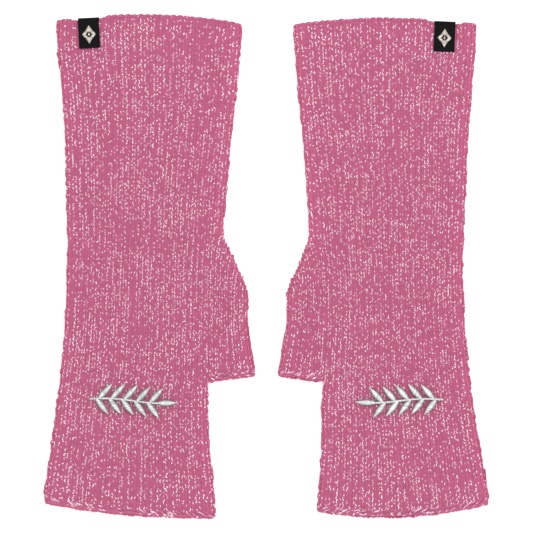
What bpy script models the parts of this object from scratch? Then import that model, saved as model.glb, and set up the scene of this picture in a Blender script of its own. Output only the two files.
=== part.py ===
"""A pair of long fingerless mittens in 1x1 rib knit, lying flat side by side with the fingers towards -Y.

Each mitten is a front and a back knitted panel linked at the sides, a woven label folded over the
cuff's edge and a raised sprig in satin stitch. Sizes are millimetres until they reach a mesh, which
is in metres. The pair lies on Z = 0, and the origin is midway between the two mittens.
"""

import math
from collections import namedtuple

import bmesh
import bpy
from mathutils import Vector

MM = 0.001

# Cloth: two walls that lie on each other, with the seam halfway up the rolled side
BACK_WALL = 2.4
FRONT_WALL = 2.7
SEAM_GAP = 0.3
RIB_DEPTH = 0.8
SIDE_ROLL = 3.0
CORNER_RADIUS = 2.4

# How far the front panel stands off the back one, in the middle and at the three openings
CROWN = 0.5
CUFF_OPENS = 1.6
CUFF_OPENS_OVER = 90.0
FINGERS_OPEN = 1.2
FINGERS_OPEN_OVER = 45.0
THUMB_OPENS = 0.9
THUMB_OPENS_OVER = 28.0
THUMB_PARTS_OVER = 40.0

# Knit: ribs that run down to the fingers, and those beside them that end at the thumb
HAND_RIBS = 26
POINTS_PER_RIB = 3
SHOULDER_SHARE = 0.06
PLAIN_RIBS = 0.4

# Where a plain inner face has its points, as shares of the hand ribs' width
INNER_SHARES = (0.0, 0.05, 0.12, 0.18, 0.25, 0.32, 0.5, 0.75, 0.88, 0.95, 1.0)

# Courses by number. The gusset adds a rib at each of its own courses, three to a number.
CROTCH = 10
FINGER_END = 14
GUSSET_START = 6
GUSSET_COURSES_PER_NUMBER = 3
GUSSET_NUMBERS = 2

# Cast-off band along the finger and thumb openings, and the plain rounded edge of the cuff
EdgeRow = namedtuple("EdgeRow", "inset height ribs")
CAST_OFF = (
    EdgeRow(inset=0.0, height=0.40, ribs=0.0),
    EdgeRow(inset=0.6, height=0.80, ribs=0.0),
    EdgeRow(inset=1.8, height=1.00, ribs=0.1),
    EdgeRow(inset=3.3, height=0.86, ribs=0.4),
    EdgeRow(inset=5.0, height=1.00, ribs=1.0),
)
CUFF_EDGE = (
    EdgeRow(inset=0.0, height=0.40, ribs=0.5),
    EdgeRow(inset=0.6, height=0.80, ribs=0.8),
    EdgeRow(inset=2.0, height=1.00, ribs=1.0),
)
CROTCH_ROLL = 2.6

# A course crosses the hand ribs from the little-finger side. Its bow is how far its middle lies
# towards the cuff. Down to the crotch it runs on across the thumb ribs to the thumb side's edge.
Course = namedtuple("Course", "outer_x outer_y split_x split_y bow")
ThumbSide = namedtuple("ThumbSide", "x y ribs")
Label = namedtuple("Label", "x y angle")
Sprig = namedtuple("Sprig", "x y angle grows")
Mitten = namedtuple("Mitten", "name courses thumb label sprig")

RIGHT_HAND = Mitten(
    name="right_hand",
    courses=(
        Course(-136.1, 160.0, -24.6, 159.2, 3.8),
        Course(-136.3, 143.6, -25.5, 144.0, 3.9),
        Course(-133.4, 117.6, -27.2, 117.8, 2.9),
        Course(-131.7, 91.6, -29.3, 91.6, 2.1),
        Course(-130.5, 65.6, -32.1, 65.4, 1.2),
        Course(-130.1, 42.9, -34.4, 42.4, 0.5),
        Course(-129.8, 22.8, -35.6, 20.6, 0.0),
        Course(-129.8, 4.5, -37.0, 2.0, -0.4),
        Course(-130.4, -13.0, -37.4, -16.4, -0.8),
        Course(-131.4, -38.3, -37.6, -42.0, -1.2),
        Course(-134.0, -68.3, -37.7, -75.4, -1.3),
        Course(-136.3, -86.5, -37.9, -93.0, -1.6),
        Course(-138.9, -108.5, -37.0, -116.4, -2.0),
        Course(-142.5, -131.8, -34.5, -140.7, -2.3),
        Course(-145.5, -153.9, -32.9, -163.9, -2.7),
    ),
    thumb=(
        ThumbSide(-16.0, 157.6, 2.0),
        ThumbSide(-17.0, 143.0, 2.0),
        ThumbSide(-19.0, 117.0, 2.0),
        ThumbSide(-22.2, 91.0, 2.0),
        ThumbSide(-24.5, 65.0, 2.0),
        ThumbSide(-26.8, 42.2, 2.0),
        ThumbSide(-27.4, 20.2, 2.0),
        ThumbSide(-20.2, 2.6, 5.0),
        ThumbSide(-12.4, -16.2, 8.0),
        ThumbSide(-11.8, -40.3, 8.0),
        ThumbSide(-6.9, -71.9, 8.0),
    ),
    label=Label(x=-115.7, y=160.8, angle=2.6),
    sprig=Sprig(x=-86.5, y=-87.6, angle=-2.5, grows=1),
)

LEFT_HAND = Mitten(
    name="left_hand",
    courses=(
        Course(136.4, 157.7, 25.7, 158.2, 3.2),
        Course(136.4, 143.6, 26.8, 144.0, 3.6),
        Course(134.1, 117.6, 28.5, 117.8, 2.7),
        Course(131.8, 91.6, 30.8, 91.6, 1.9),
        Course(130.5, 65.6, 33.4, 65.4, 1.2),
        Course(129.6, 42.9, 35.5, 42.4, 0.5),
        Course(128.6, 22.8, 36.8, 20.6, 0.0),
        Course(127.9, 4.5, 38.2, 2.0, -0.4),
        Course(127.9, -13.0, 39.2, -16.4, -0.8),
        Course(129.2, -38.3, 39.3, -42.0, -1.2),
        Course(131.8, -68.3, 37.1, -75.1, -1.3),
        Course(134.4, -87.1, 35.9, -92.3, -1.6),
        Course(137.6, -109.2, 36.0, -115.9, -2.6),
        Course(141.8, -132.6, 34.5, -139.6, -3.9),
        Course(145.6, -154.9, 32.6, -159.9, -5.4),
    ),
    thumb=(
        ThumbSide(17.2, 157.1, 2.0),
        ThumbSide(18.4, 143.0, 2.0),
        ThumbSide(20.4, 117.0, 2.0),
        ThumbSide(23.0, 91.0, 2.0),
        ThumbSide(25.2, 65.0, 2.0),
        ThumbSide(26.5, 42.2, 2.0),
        ThumbSide(27.5, 20.2, 2.0),
        ThumbSide(21.7, 2.6, 5.0),
        ThumbSide(13.9, -16.2, 8.0),
        ThumbSide(12.6, -40.3, 8.0),
        ThumbSide(7.4, -72.0, 8.0),
    ),
    label=Label(x=116.0, y=158.5, angle=-2.2),
    sprig=Sprig(x=86.2, y=-87.6, angle=1.5, grows=-1),
)

# Woven label, folded over the edge of the front panel's cuff
LABEL_WIDTH = 13.7
LABEL_OUTSIDE = 19.3
LABEL_INSIDE = 10.5
LABEL_THICK = 0.5
LABEL_CLEAR = 0.3
LABEL_COLUMNS = 5

# The cuff's edge is drawn in a little where the label is sewn on
LABEL_TUCK = 1.9
LABEL_TUCK_BESIDE = 8.0
LABEL_TUCK_DOWN = 20.0

# Sprig of satin stitch: a stem with pairs of leaves and one at its tip
SPRIG_LENGTH = 57.6
SPRIG_LIFT = 0.3
STEM_HALF_WIDTH = 0.85
STEM_HEIGHT = 1.2
STEM_STEPS = 12
STEM_SWAY = 0.9
LEAF_LENGTH = 12.6
LEAF_HALF_WIDTH = 2.35
LEAF_HEIGHT = 1.7
LEAF_ANGLE = 50.0
LEAF_PAIRS = 5
LEAF_FIRST = 6.2
LEAF_SPACING = 8.3
LEAF_STEPS = 5
LEAF_STAGGER = 1.6

# Colours as linear red, green and blue
KNIT_PINK = (0.54, 0.14, 0.26)
LABEL_BLACK = (0.012, 0.012, 0.013)
THREAD_SILVER = (0.55, 0.56, 0.57)

Z_BACK_TOP = BACK_WALL
Z_FRONT_FLOOR = BACK_WALL + SEAM_GAP
CLOTH_TURN = 0.5 * (BACK_WALL + FRONT_WALL)
ROLL_LENGTH = 0.25 * math.pi * (SIDE_ROLL + CLOTH_TURN)
ROLL_EXTRA = ROLL_LENGTH - SIDE_ROLL
ROLL_RIBS = 3.0


def clear_scene():
    for obj in list(bpy.data.objects):
        bpy.data.objects.remove(obj, do_unlink=True)


def make_material(name, colour, roughness, metallic=0.0):
    material = bpy.data.materials.new(name)
    material.use_nodes = True
    shader = material.node_tree.nodes["Principled BSDF"]
    shader.inputs["Base Color"].default_value = (*colour, 1.0)
    shader.inputs["Roughness"].default_value = roughness
    shader.inputs["Metallic"].default_value = metallic
    return material


def curve_value(values, at):
    """The value at a fractional index, on a smooth curve through the values."""
    low = min(int(at), len(values) - 2)
    share = at - low
    before = values[max(low - 1, 0)]
    start = values[low]
    end = values[low + 1]
    after = values[min(low + 2, len(values) - 1)]
    slope_in = 0.5 * (end - before)
    slope_out = 0.5 * (after - start)
    cube = share**3
    square = share**2
    return (
        (2 * cube - 3 * square + 1) * start
        + (cube - 2 * square + share) * slope_in
        + (3 * square - 2 * cube) * end
        + (cube - square) * slope_out
    )


def ease(distance, over):
    """1 at an opening, falling smoothly to 0 at the distance over."""
    if distance >= over:
        return 0.0
    return 0.5 * (1.0 + math.cos(math.pi * distance / over))


def smooth(share):
    share = min(max(share, 0.0), 1.0)
    return share * share * (3.0 - 2.0 * share)


def arch(share):
    """A flat-topped rise from 0 at both ends to 1 between them."""
    return 1.0 - (2.0 * share - 1.0) ** 4


class Lay:
    """Where the courses and ribs of one mitten lie."""

    def __init__(self, mitten):
        self.mitten = mitten
        self.stations = self.measure()

    def outer(self, course):
        rows = self.mitten.courses
        x = curve_value([row.outer_x for row in rows], course)
        y = curve_value([row.outer_y for row in rows], course)
        return Vector((x, y))

    def split(self, course):
        rows = self.mitten.courses
        x = curve_value([row.split_x for row in rows], course)
        y = curve_value([row.split_y for row in rows], course)
        return Vector((x, y))

    def thumb(self, course):
        rows = self.mitten.thumb
        x = curve_value([row.x for row in rows], course)
        y = curve_value([row.y for row in rows], course)
        return Vector((x, y))

    def thumb_ribs(self, course):
        rows = self.mitten.thumb
        low = min(int(course), len(rows) - 2)
        return rows[low].ribs + (course - low) * (rows[low + 1].ribs - rows[low].ribs)

    def bow(self, course):
        return curve_value([row.bow for row in self.mitten.courses], course)

    def tuck(self, course, x):
        """How far the cloth is drawn in from the cuff's edge, at and beside the label."""
        beside = max(abs(x - self.mitten.label.x) - 0.5 * LABEL_WIDTH, 0.0)
        down = ease(self.length_at(course), LABEL_TUCK_DOWN)
        return LABEL_TUCK * ease(beside, LABEL_TUCK_BESIDE) * down

    def measure(self):
        """Length along the middle of the hand from the cuff to each course number."""
        lengths = [0.0]
        for number in range(FINGER_END):
            here = 0.5 * (self.outer(number) + self.split(number))
            following = 0.5 * (self.outer(number + 1) + self.split(number + 1))
            lengths.append(lengths[-1] + (following - here).length)
        return lengths

    def course_at(self, length):
        """The fractional course number at a length from the cuff."""
        for number in range(FINGER_END):
            start = self.stations[number]
            end = self.stations[number + 1]
            if length <= end:
                return number + (length - start) / (end - start)
        return float(FINGER_END)

    def length_at(self, course):
        low = min(int(course), FINGER_END - 1)
        start = self.stations[low]
        return start + (course - low) * (self.stations[low + 1] - start)


class Row:
    """One course, from the little-finger side to its other end."""

    def __init__(self, lay, course, has_thumb, edge=None, thumb_edge=None, corner=0.0):
        self.lay = lay
        self.course = course
        self.edge = edge
        self.thumb_edge = thumb_edge
        self.has_thumb = has_thumb
        self.outer = lay.outer(course)
        self.split = lay.split(course)
        self.bow = lay.bow(course)
        self.thumb_ribs = lay.thumb_ribs(course) if has_thumb else 0.0
        self.end = lay.thumb(course) if has_thumb else self.split
        across = (self.split - self.outer).normalized()
        if corner:
            self.end = self.end - across * corner
        if corner and not thumb_edge:
            self.outer = self.outer + across * corner
        if not has_thumb:
            self.split = self.end
        self.hand_length = (self.split - self.outer).length
        self.thumb_length = (self.end - self.split).length
        self.length = self.hand_length + self.thumb_length
        self.cloth_length = self.length + 2.0 * ROLL_EXTRA
        self.last_rib = HAND_RIBS + self.thumb_ribs

    def cloth_at(self, rib):
        """Length along the cloth, over the rolled side, at a rib number."""
        if rib <= HAND_RIBS:
            flat = self.hand_length * rib / HAND_RIBS
        else:
            flat = self.hand_length + self.thumb_length * (rib - HAND_RIBS) / self.thumb_ribs
        far = smooth(1.0 - (self.last_rib - rib) / ROLL_RIBS)
        return flat + ROLL_EXTRA * (smooth(rib / ROLL_RIBS) + far)

    def plan_at(self, along):
        """(plan distance from the outer side, height share) at a length along the cloth."""
        from_end = self.cloth_length - along
        near = min(along, from_end)
        if near >= ROLL_LENGTH:
            return along - ROLL_EXTRA, 1.0
        turn = 0.5 * math.pi * near / ROLL_LENGTH
        inset = SIDE_ROLL * (1.0 - math.cos(turn))
        return (inset if along <= from_end else self.length - inset), math.sin(turn)

    def point(self, plan):
        """Plan position at a plan distance from the outer side."""
        if plan <= self.hand_length or not self.has_thumb:
            share = plan / self.hand_length
            flat = self.outer.lerp(self.split, share)
            bowed = 4.0 * self.bow * share * (1.0 - share)
            return flat + Vector((0.0, bowed - self.lay.tuck(self.course, flat.x)))
        return self.split.lerp(self.end, (plan - self.hand_length) / self.thumb_length)

    def lift(self, plan):
        """How far the front panel stands off the back one here."""
        length = self.lay.length_at(self.course)
        opened = CROWN
        opened += CUFF_OPENS * ease(length, CUFF_OPENS_OVER)
        opened += FINGERS_OPEN * ease(self.lay.stations[FINGER_END] - length, FINGERS_OPEN_OVER)
        whole = arch(plan / self.length)
        if not self.has_thumb:
            return opened * whole
        from_crotch = self.lay.stations[CROTCH] - length
        parted = ease(from_crotch, THUMB_PARTS_OVER)
        if plan <= self.hand_length:
            apart = arch(plan / self.hand_length)
            return opened * (whole + (apart - whole) * parted)
        apart = arch((plan - self.hand_length) / self.thumb_length)
        opened += THUMB_OPENS * ease(from_crotch, THUMB_OPENS_OVER)
        return opened * (whole + (apart - whole) * parted)

    def edge_shape(self, rib):
        """(height share, rib share) at this rib, for the rounding of a cast-off or cuff edge."""
        if self.edge:
            return self.edge.height, self.edge.ribs
        if self.thumb_edge and rib > HAND_RIBS:
            ends = min((rib - HAND_RIBS) / 0.7, 1.0)
            height = 1.0 + (self.thumb_edge.height - 1.0) * ends
            return height, 1.0 + (self.thumb_edge.ribs - 1.0) * ends
        return 1.0, 1.0


def rounding(inset):
    """How far a corner's curve pulls the side in, at a distance from the opening's edge."""
    if inset >= CORNER_RADIUS:
        return 0.0
    rest = CORNER_RADIUS - inset
    return CORNER_RADIUS - math.sqrt(CORNER_RADIUS**2 - rest**2)


def rows_of(lay):
    """The courses that carry mesh points, from the cuff to the fingers."""
    rows = []
    for edge in CUFF_EDGE:
        rows.append(Row(lay, lay.course_at(edge.inset), True, edge=edge, corner=rounding(edge.inset)))
    gusset_ends = GUSSET_START + GUSSET_NUMBERS
    for course in range(1, GUSSET_START):
        rows.append(Row(lay, float(course), True))
    for step in range(GUSSET_NUMBERS * GUSSET_COURSES_PER_NUMBER):
        rows.append(Row(lay, GUSSET_START + step / GUSSET_COURSES_PER_NUMBER, True))
    for course in range(gusset_ends, CROTCH):
        rows.append(Row(lay, float(course), True))
    thumb_ends = lay.stations[CROTCH]
    for edge in reversed(CAST_OFF):
        course = lay.course_at(thumb_ends - edge.inset)
        rows.append(Row(lay, course, True, thumb_edge=edge, corner=rounding(edge.inset)))
    rows.append(Row(lay, lay.course_at(thumb_ends + CROTCH_ROLL), False))
    for course in range(CROTCH + 1, FINGER_END):
        rows.append(Row(lay, float(course), False))
    fingers_end = lay.stations[FINGER_END]
    for edge in reversed(CAST_OFF):
        course = lay.course_at(fingers_end - edge.inset)
        rows.append(Row(lay, course, False, edge=edge, corner=rounding(edge.inset)))
    return rows


def groove(rib, last):
    """1 in the furrow between two ribs, near 0 on a rib's crown, and plain along either side."""
    furrow = 1.0 if abs(rib - round(rib)) < 0.01 else SHOULDER_SHARE
    return furrow * smooth(min(rib, last - rib) - PLAIN_RIBS)


def rib_numbers(last, per_rib):
    count = math.ceil(last * per_rib - 0.3)
    return [step / per_rib for step in range(count)] + [last]


def plain_numbers(row):
    """Ribs at which an unribbed face has points: round each side's roll, and a few between."""
    near = [0.0, 0.4, 0.8, 1.3]
    middle = [3.0, 6.5, 8.7, 17.0, 22.0]
    if row.has_thumb:
        middle.append(float(HAND_RIBS))
        if row.thumb_ribs > 5.0:
            middle.append(HAND_RIBS + 4.0)
    far = [row.last_rib - rib for rib in reversed(near)]
    far = [rib for rib in far if rib > middle[-1] + 0.3]
    return near + middle + far


class PanelMesh:
    """Points and triangles of one panel, closed over its openings' edges."""

    def __init__(self):
        self.points = []
        self.faces = []

    def add(self, place, height):
        self.points.append((place.x * MM, place.y * MM, height * MM))
        return len(self.points) - 1

    def join(self, one, other):
        """Fills the strip between two rows of (rib number, point), both running the same way."""
        i = 0
        j = 0
        while i < len(one) - 1 or j < len(other) - 1:
            step_one = j == len(other) - 1 or (
                i < len(one) - 1 and one[i + 1][0] <= other[j + 1][0]
            )
            if step_one:
                corners = (one[i][1], one[i + 1][1], other[j][1])
                i += 1
            else:
                corners = (one[i][1], other[j + 1][1], other[j][1])
                j += 1
            if len(set(corners)) == 3:
                self.faces.append(corners)

    def build(self, name, material):
        mesh = bpy.data.meshes.new(name)
        mesh.from_pydata(self.points, [], self.faces)
        shape = bmesh.new()
        shape.from_mesh(mesh)
        bmesh.ops.recalc_face_normals(shape, faces=shape.faces)
        shape.to_mesh(mesh)
        shape.free()
        mesh.shade_smooth()
        mesh.set_sharp_from_angle(angle=math.radians(50.0))
        mesh.materials.append(material)
        obj = bpy.data.objects.new(name, mesh)
        bpy.context.scene.collection.objects.link(obj)
        return obj


def make_panel(name, rows, front, material):
    """A wall with a plain inner face. The front one has its ribs raised in its outer points."""
    panel = PanelMesh()
    outside = []
    inside = []
    for row in rows:
        numbers = rib_numbers(row.last_rib, POINTS_PER_RIB) if front else plain_numbers(row)
        outer_row = []
        for rib in numbers:
            plan, rise = row.plan_at(row.cloth_at(rib))
            height_share, rib_share = row.edge_shape(rib)
            rise *= height_share
            if front:
                wall = FRONT_WALL - RIB_DEPTH * groove(rib, row.last_rib) * rib_share
                height = Z_FRONT_FLOOR + row.lift(plan) + wall * rise
            else:
                height = Z_BACK_TOP - BACK_WALL * rise
            outer_row.append((rib, panel.add(row.point(plan), height)))
        inner_row = [outer_row[0]]
        shares = INNER_SHARES[1:] if row.has_thumb else INNER_SHARES[1:-1]
        plans = [(HAND_RIBS * share, row.hand_length * share) for share in shares]
        if row.has_thumb:
            halfway = row.hand_length + 0.5 * row.thumb_length
            plans.append((HAND_RIBS + 0.5 * row.thumb_ribs, halfway))
        for rib, plan in plans:
            height = Z_FRONT_FLOOR + row.lift(plan) if front else Z_BACK_TOP
            inner_row.append((rib, panel.add(row.point(plan), height)))
        inner_row.append(outer_row[-1])
        outside.append(outer_row)
        inside.append(inner_row)
    for number in range(len(rows) - 1):
        leaves_thumb = rows[number].has_thumb and not rows[number + 1].has_thumb
        for layer in (outside, inside):
            here = layer[number]
            if leaves_thumb:
                here = [entry for entry in here if entry[0] <= HAND_RIBS]
            panel.join(here, layer[number + 1])
        if leaves_thumb:
            beyond = []
            for layer in (outside, inside):
                beyond.append([entry for entry in layer[number] if entry[0] >= HAND_RIBS])
            panel.join(*beyond)
            panel.faces.append((beyond[0][0][1], beyond[1][0][1], outside[number + 1][-1][1]))
    panel.join(outside[0], inside[0])
    panel.join(outside[-1], inside[-1])
    return panel.build(name, material)


def locate(lay, place):
    """The row and plan distance of the cloth under a plan position among the hand ribs."""
    course = 0.5 * FINGER_END
    step = 0.25
    for _ in range(12):
        row = Row(lay, course, course <= CROTCH)
        share = (place.x - row.outer.x) / (row.split.x - row.outer.x)
        here = row.point(share * row.hand_length)
        ahead = Row(lay, min(course + step, FINGER_END), course <= CROTCH - step)
        there = ahead.point(share * ahead.hand_length)
        slope = (there.y - here.y) / (ahead.course - course)
        course = min(max(course + (place.y - here.y) / slope, 0.0), FINGER_END - step)
    return row, share


def front_heights(lay, place):
    """(inner face, ribs' crowns) of the front panel at a plan position among the hand ribs."""
    row, share = locate(lay, place)
    for low, high in zip(INNER_SHARES[:-1], INNER_SHARES[1:]):
        if low <= share <= high:
            start = row.lift(low * row.hand_length)
            end = row.lift(high * row.hand_length)
            inner = start + (end - start) * (share - low) / (high - low)
            crown = row.lift(share * row.hand_length) + FRONT_WALL
            return Z_FRONT_FLOOR + inner, Z_FRONT_FLOOR + crown
    raise ValueError("the place is beside the cloth")


def place_in(frame, along, across):
    """Plan position of a point in a rotated frame with its own x, y and angle in degrees."""
    turn = math.radians(frame.angle)
    x = frame.x + along * math.cos(turn) - across * math.sin(turn)
    y = frame.y + along * math.sin(turn) + across * math.cos(turn)
    return Vector((x, y))


def make_label(name, lay, material):
    """A strip folded round the cuff's edge, in columns that follow the cloth under it."""
    frame = lay.mitten.label
    mesh = bpy.data.meshes.new(name)
    shape = bmesh.new()
    columns = []
    clear = LABEL_CLEAR
    thick = LABEL_THICK
    for number in range(LABEL_COLUMNS):
        along = LABEL_WIDTH * (number / (LABEL_COLUMNS - 1) - 0.5)
        down_outside = [LABEL_OUTSIDE, 0.5 * LABEL_OUTSIDE, 0.9]
        down_inside = [0.9, 0.5 * LABEL_INSIDE, LABEL_INSIDE]
        over = []
        under = []
        for down in down_outside:
            place = place_in(frame, along, -down)
            top = front_heights(lay, place)[1] + clear
            over.append((place, top + thick))
            under.append((place, top))
        floor, crown = front_heights(lay, place_in(frame, along, -0.9))
        middle = 0.5 * (floor + crown)
        for out, height in ((0.1, crown + clear), (0.1, floor - clear)):
            under.append((place_in(frame, along, out), height))
        for out, height in (
            (0.35, crown + clear + 0.8 * thick),
            (0.1 + thick, middle + 0.3 * FRONT_WALL),
            (0.1 + thick, middle - 0.3 * FRONT_WALL),
            (0.35, floor - clear - 0.8 * thick),
        ):
            over.append((place_in(frame, along, out), height))
        for down in down_inside:
            place = place_in(frame, along, -down)
            bottom = front_heights(lay, place)[0] - clear
            over.append((place, bottom - thick))
            under.append((place, bottom))
        loop = over + under[::-1]
        columns.append([shape.verts.new((p.x * MM, p.y * MM, h * MM)) for p, h in loop])
    count = len(columns[0])
    for left, right in zip(columns[:-1], columns[1:]):
        for corner in range(count):
            following = (corner + 1) % count
            shape.faces.new((left[corner], left[following], right[following], right[corner]))
    shape.faces.new(columns[0])
    shape.faces.new(columns[-1])
    bmesh.ops.recalc_face_normals(shape, faces=shape.faces)
    shape.to_mesh(mesh)
    shape.free()
    mesh.shade_smooth()
    mesh.set_sharp_from_angle(angle=math.radians(30.0))
    mesh.materials.append(material)
    obj = bpy.data.objects.new(name, mesh)
    bpy.context.scene.collection.objects.link(obj)
    return obj


def stem_point(along):
    """The stem's middle line in the sprig's own frame."""
    share = along / SPRIG_LENGTH
    return Vector((along - 0.5 * SPRIG_LENGTH, STEM_SWAY * math.sin(2.0 * math.pi * share)))


def padded_bar(name, lay, sections, raised, material):
    """A closed solid with a flat foot and a domed top, through sections along a line.

    Each section is (middle, sideways direction, half width, height) in the sprig's own frame.
    """
    frame = lay.mitten.sprig
    mesh = bpy.data.meshes.new(name)
    shape = bmesh.new()
    rings = []
    for middle, sideways, half_width, height in sections:
        ring = []
        for across, up in ((-1.0, 0.0), (-0.72, 0.72), (0.0, 1.0), (0.72, 0.72), (1.0, 0.0)):
            at = middle + sideways * (half_width * across)
            place = place_in(frame, at.x * frame.grows, at.y)
            foot = front_heights(lay, place)[1] + SPRIG_LIFT + raised
            ring.append(shape.verts.new((place.x * MM, place.y * MM, (foot + up * height) * MM)))
        rings.append(ring)
    for one, other in zip(rings[:-1], rings[1:]):
        for corner in range(len(one)):
            following = (corner + 1) % len(one)
            shape.faces.new((one[corner], one[following], other[following], other[corner]))
    shape.faces.new(rings[0])
    shape.faces.new(rings[-1])
    bmesh.ops.recalc_face_normals(shape, faces=shape.faces)
    bmesh.ops.triangulate(shape, faces=shape.faces)
    shape.to_mesh(mesh)
    shape.free()
    mesh.shade_smooth()
    mesh.set_sharp_from_angle(angle=math.radians(50.0))
    mesh.materials.append(material)
    obj = bpy.data.objects.new(name, mesh)
    bpy.context.scene.collection.objects.link(obj)
    return obj


def leaf_sections(root, direction, length):
    """Sections of a pointed leaf that widens from its root and closes to a tip."""
    sideways = Vector((-direction.y, direction.x))
    sections = []
    for number in range(LEAF_STEPS + 1):
        share = number / LEAF_STEPS
        swell = math.sin(math.pi * (0.08 + 0.89 * share) ** 0.9)
        half_width = LEAF_HALF_WIDTH * max(swell, 0.12)
        height = LEAF_HEIGHT * max(swell, 0.05) ** 0.5
        sections.append((root + direction * (length * share), sideways, half_width, height))
    return sections


def make_sprig(name, lay, material):
    """The stem joined with its leaves into one solid that stands on the ribs' crowns."""
    stem_sections = []
    for number in range(STEM_STEPS + 1):
        along = (SPRIG_LENGTH - LEAF_LENGTH) * number / STEM_STEPS
        here = stem_point(along)
        ahead = (stem_point(along + 0.5) - here).normalized()
        stem_sections.append((here, Vector((-ahead.y, ahead.x)), STEM_HALF_WIDTH, STEM_HEIGHT))
    stem = padded_bar(name, lay, stem_sections, 0.0, material)
    leaves = bpy.data.collections.new(name + "_leaves")
    bpy.context.scene.collection.children.link(leaves)
    tip = stem_point(SPRIG_LENGTH - LEAF_LENGTH - 0.6)
    tip_direction = (stem_point(SPRIG_LENGTH) - tip).normalized()
    plans = [(tip, tip_direction, 0.15)]
    for pair in range(LEAF_PAIRS):
        for side in (1, -1):
            root = stem_point(LEAF_FIRST + LEAF_SPACING * pair - LEAF_STAGGER * (side < 0))
            turn = math.radians(LEAF_ANGLE) * side
            direction = Vector((math.cos(turn), math.sin(turn)))
            plans.append((root, direction, 0.05 if side > 0 else 0.1))
    for number, (root, direction, raised) in enumerate(plans):
        sections = leaf_sections(root, direction, LEAF_LENGTH)
        leaf = padded_bar(f"{name}_leaf_{number}", lay, sections, raised, material)
        bpy.context.scene.collection.objects.unlink(leaf)
        leaves.objects.link(leaf)
        leaf.hide_render = True
        leaf.display_type = "WIRE"
    union = stem.modifiers.new("join leaves", "BOOLEAN")
    union.operation = "UNION"
    union.solver = "EXACT"
    union.operand_type = "COLLECTION"
    union.collection = leaves
    return stem


def main():
    clear_scene()
    knit = make_material("pink knit", KNIT_PINK, 0.9)
    woven = make_material("black woven label", LABEL_BLACK, 0.7)
    silver = make_material("silver thread", THREAD_SILVER, 0.4)
    for mitten in (RIGHT_HAND, LEFT_HAND):
        lay = Lay(mitten)
        rows = rows_of(lay)
        make_panel(mitten.name + "_back_panel", rows, False, knit)
        make_panel(mitten.name + "_front_panel", rows, True, knit)
        make_label(mitten.name + "_cuff_label", lay, woven)
        make_sprig(mitten.name + "_satin_sprig", lay, silver)


if __name__ == "__main__":
    main()
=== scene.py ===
import math
from collections import namedtuple

import bmesh
import bpy
import numpy as np
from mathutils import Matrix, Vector


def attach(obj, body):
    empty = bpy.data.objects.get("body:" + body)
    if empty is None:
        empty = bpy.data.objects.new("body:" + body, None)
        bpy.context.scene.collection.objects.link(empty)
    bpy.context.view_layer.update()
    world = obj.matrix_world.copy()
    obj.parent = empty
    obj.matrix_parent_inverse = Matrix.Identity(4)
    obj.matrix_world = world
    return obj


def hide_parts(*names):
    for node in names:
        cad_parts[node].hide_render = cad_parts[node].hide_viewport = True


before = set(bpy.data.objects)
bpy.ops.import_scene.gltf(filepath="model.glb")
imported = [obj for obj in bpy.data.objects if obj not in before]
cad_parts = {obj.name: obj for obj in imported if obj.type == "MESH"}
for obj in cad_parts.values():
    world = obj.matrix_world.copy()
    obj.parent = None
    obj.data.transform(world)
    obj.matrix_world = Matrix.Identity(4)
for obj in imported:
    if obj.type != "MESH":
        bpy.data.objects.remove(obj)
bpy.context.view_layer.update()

bl_info = {
    "name": "Rib-knit fingerless mittens",
    "version": (1, 0, 0),
    "blender": (4, 5, 0),
    "location": "3D View > Sidebar > Mittens",
    "description": "Knits the stitches, cast-off edges, labels and satin sprigs of a pair of mittens",
    "category": "Object",
}

MM = 0.001

# The cloth as the solids have it, in millimetres
BACK_WALL = 2.4
FRONT_WALL = 2.7
SEAM_GAP = 0.3
SIDE_ROLL = 3.0
CORNER_RADIUS = 2.4
CROWN = 0.5
CUFF_OPENS = 1.6
CUFF_OPENS_OVER = 90.0
FINGERS_OPEN = 1.2
FINGERS_OPEN_OVER = 45.0
THUMB_OPENS = 0.9
THUMB_OPENS_OVER = 28.0
THUMB_PARTS_OVER = 40.0
CROTCH_ROLL = 2.6
LABEL_HALF_WIDTH = 6.85
LABEL_TUCK = 1.9
LABEL_TUCK_BESIDE = 8.0
LABEL_TUCK_DOWN = 20.0
HAND_RIBS = 26
THUMB_RIBS = 8
CROTCH = 10
Z_BACK_TOP = BACK_WALL
Z_FRONT_FLOOR = BACK_WALL + SEAM_GAP
ROLL_LENGTH = 0.25 * math.pi * (SIDE_ROLL + 0.5 * (BACK_WALL + FRONT_WALL))
ROLL_EXTRA = ROLL_LENGTH - SIDE_ROLL
ROLL_RIBS = 3.0

# The dressed cloth: the stitches' room inside the solids' form, its furrows, and its end courses
STITCH_ROOM = 0.7
FURROW_DEPTH = 0.28
FIRST_COURSE = 1.2
COURSES_END = 4.6
THUMB_COURSES_END = 4.2
THUMB_EDGE_RIBS = 0.7

# The folded label: its cut, its lengths outside and inside the cuff, where its fold starts,
# and the air under it and under the sprig
LABEL_OUTSIDE = 19.3
LABEL_INSIDE = 10.5
LABEL_FOLD = 0.9
CLEARANCE = 0.3

# The lozenge woven on it, with a hole and a core as shares of its size
LOZENGE_HALF_WIDTH = 4.6
LOZENGE_HALF_HEIGHT = 5.9
LOZENGE_DOWN = 10.4
LOZENGE_LINES = 17
LOZENGE_HOLE = 0.42
LOZENGE_CORE = 0.2

# The sprig: where its leaves start along the stem, and the form of a leaf and of the stem
FIRST_LEAF = 6.2
LEAF_STEP = 8.3
LEAF_STAGGER = 1.6
LEAF_PAIRS = 5
LEAF_ANGLE = 50.0
LEAF_HALF_WIDTH = 2.35
LEAF_HEIGHT = 1.7
LEAF_SLANT = 62.0
STEM_HALF_WIDTH = 0.85
STEM_HEIGHT = 1.2
STEM_SLANT = 90.0
STEM_WAVE = 0.9

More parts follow.
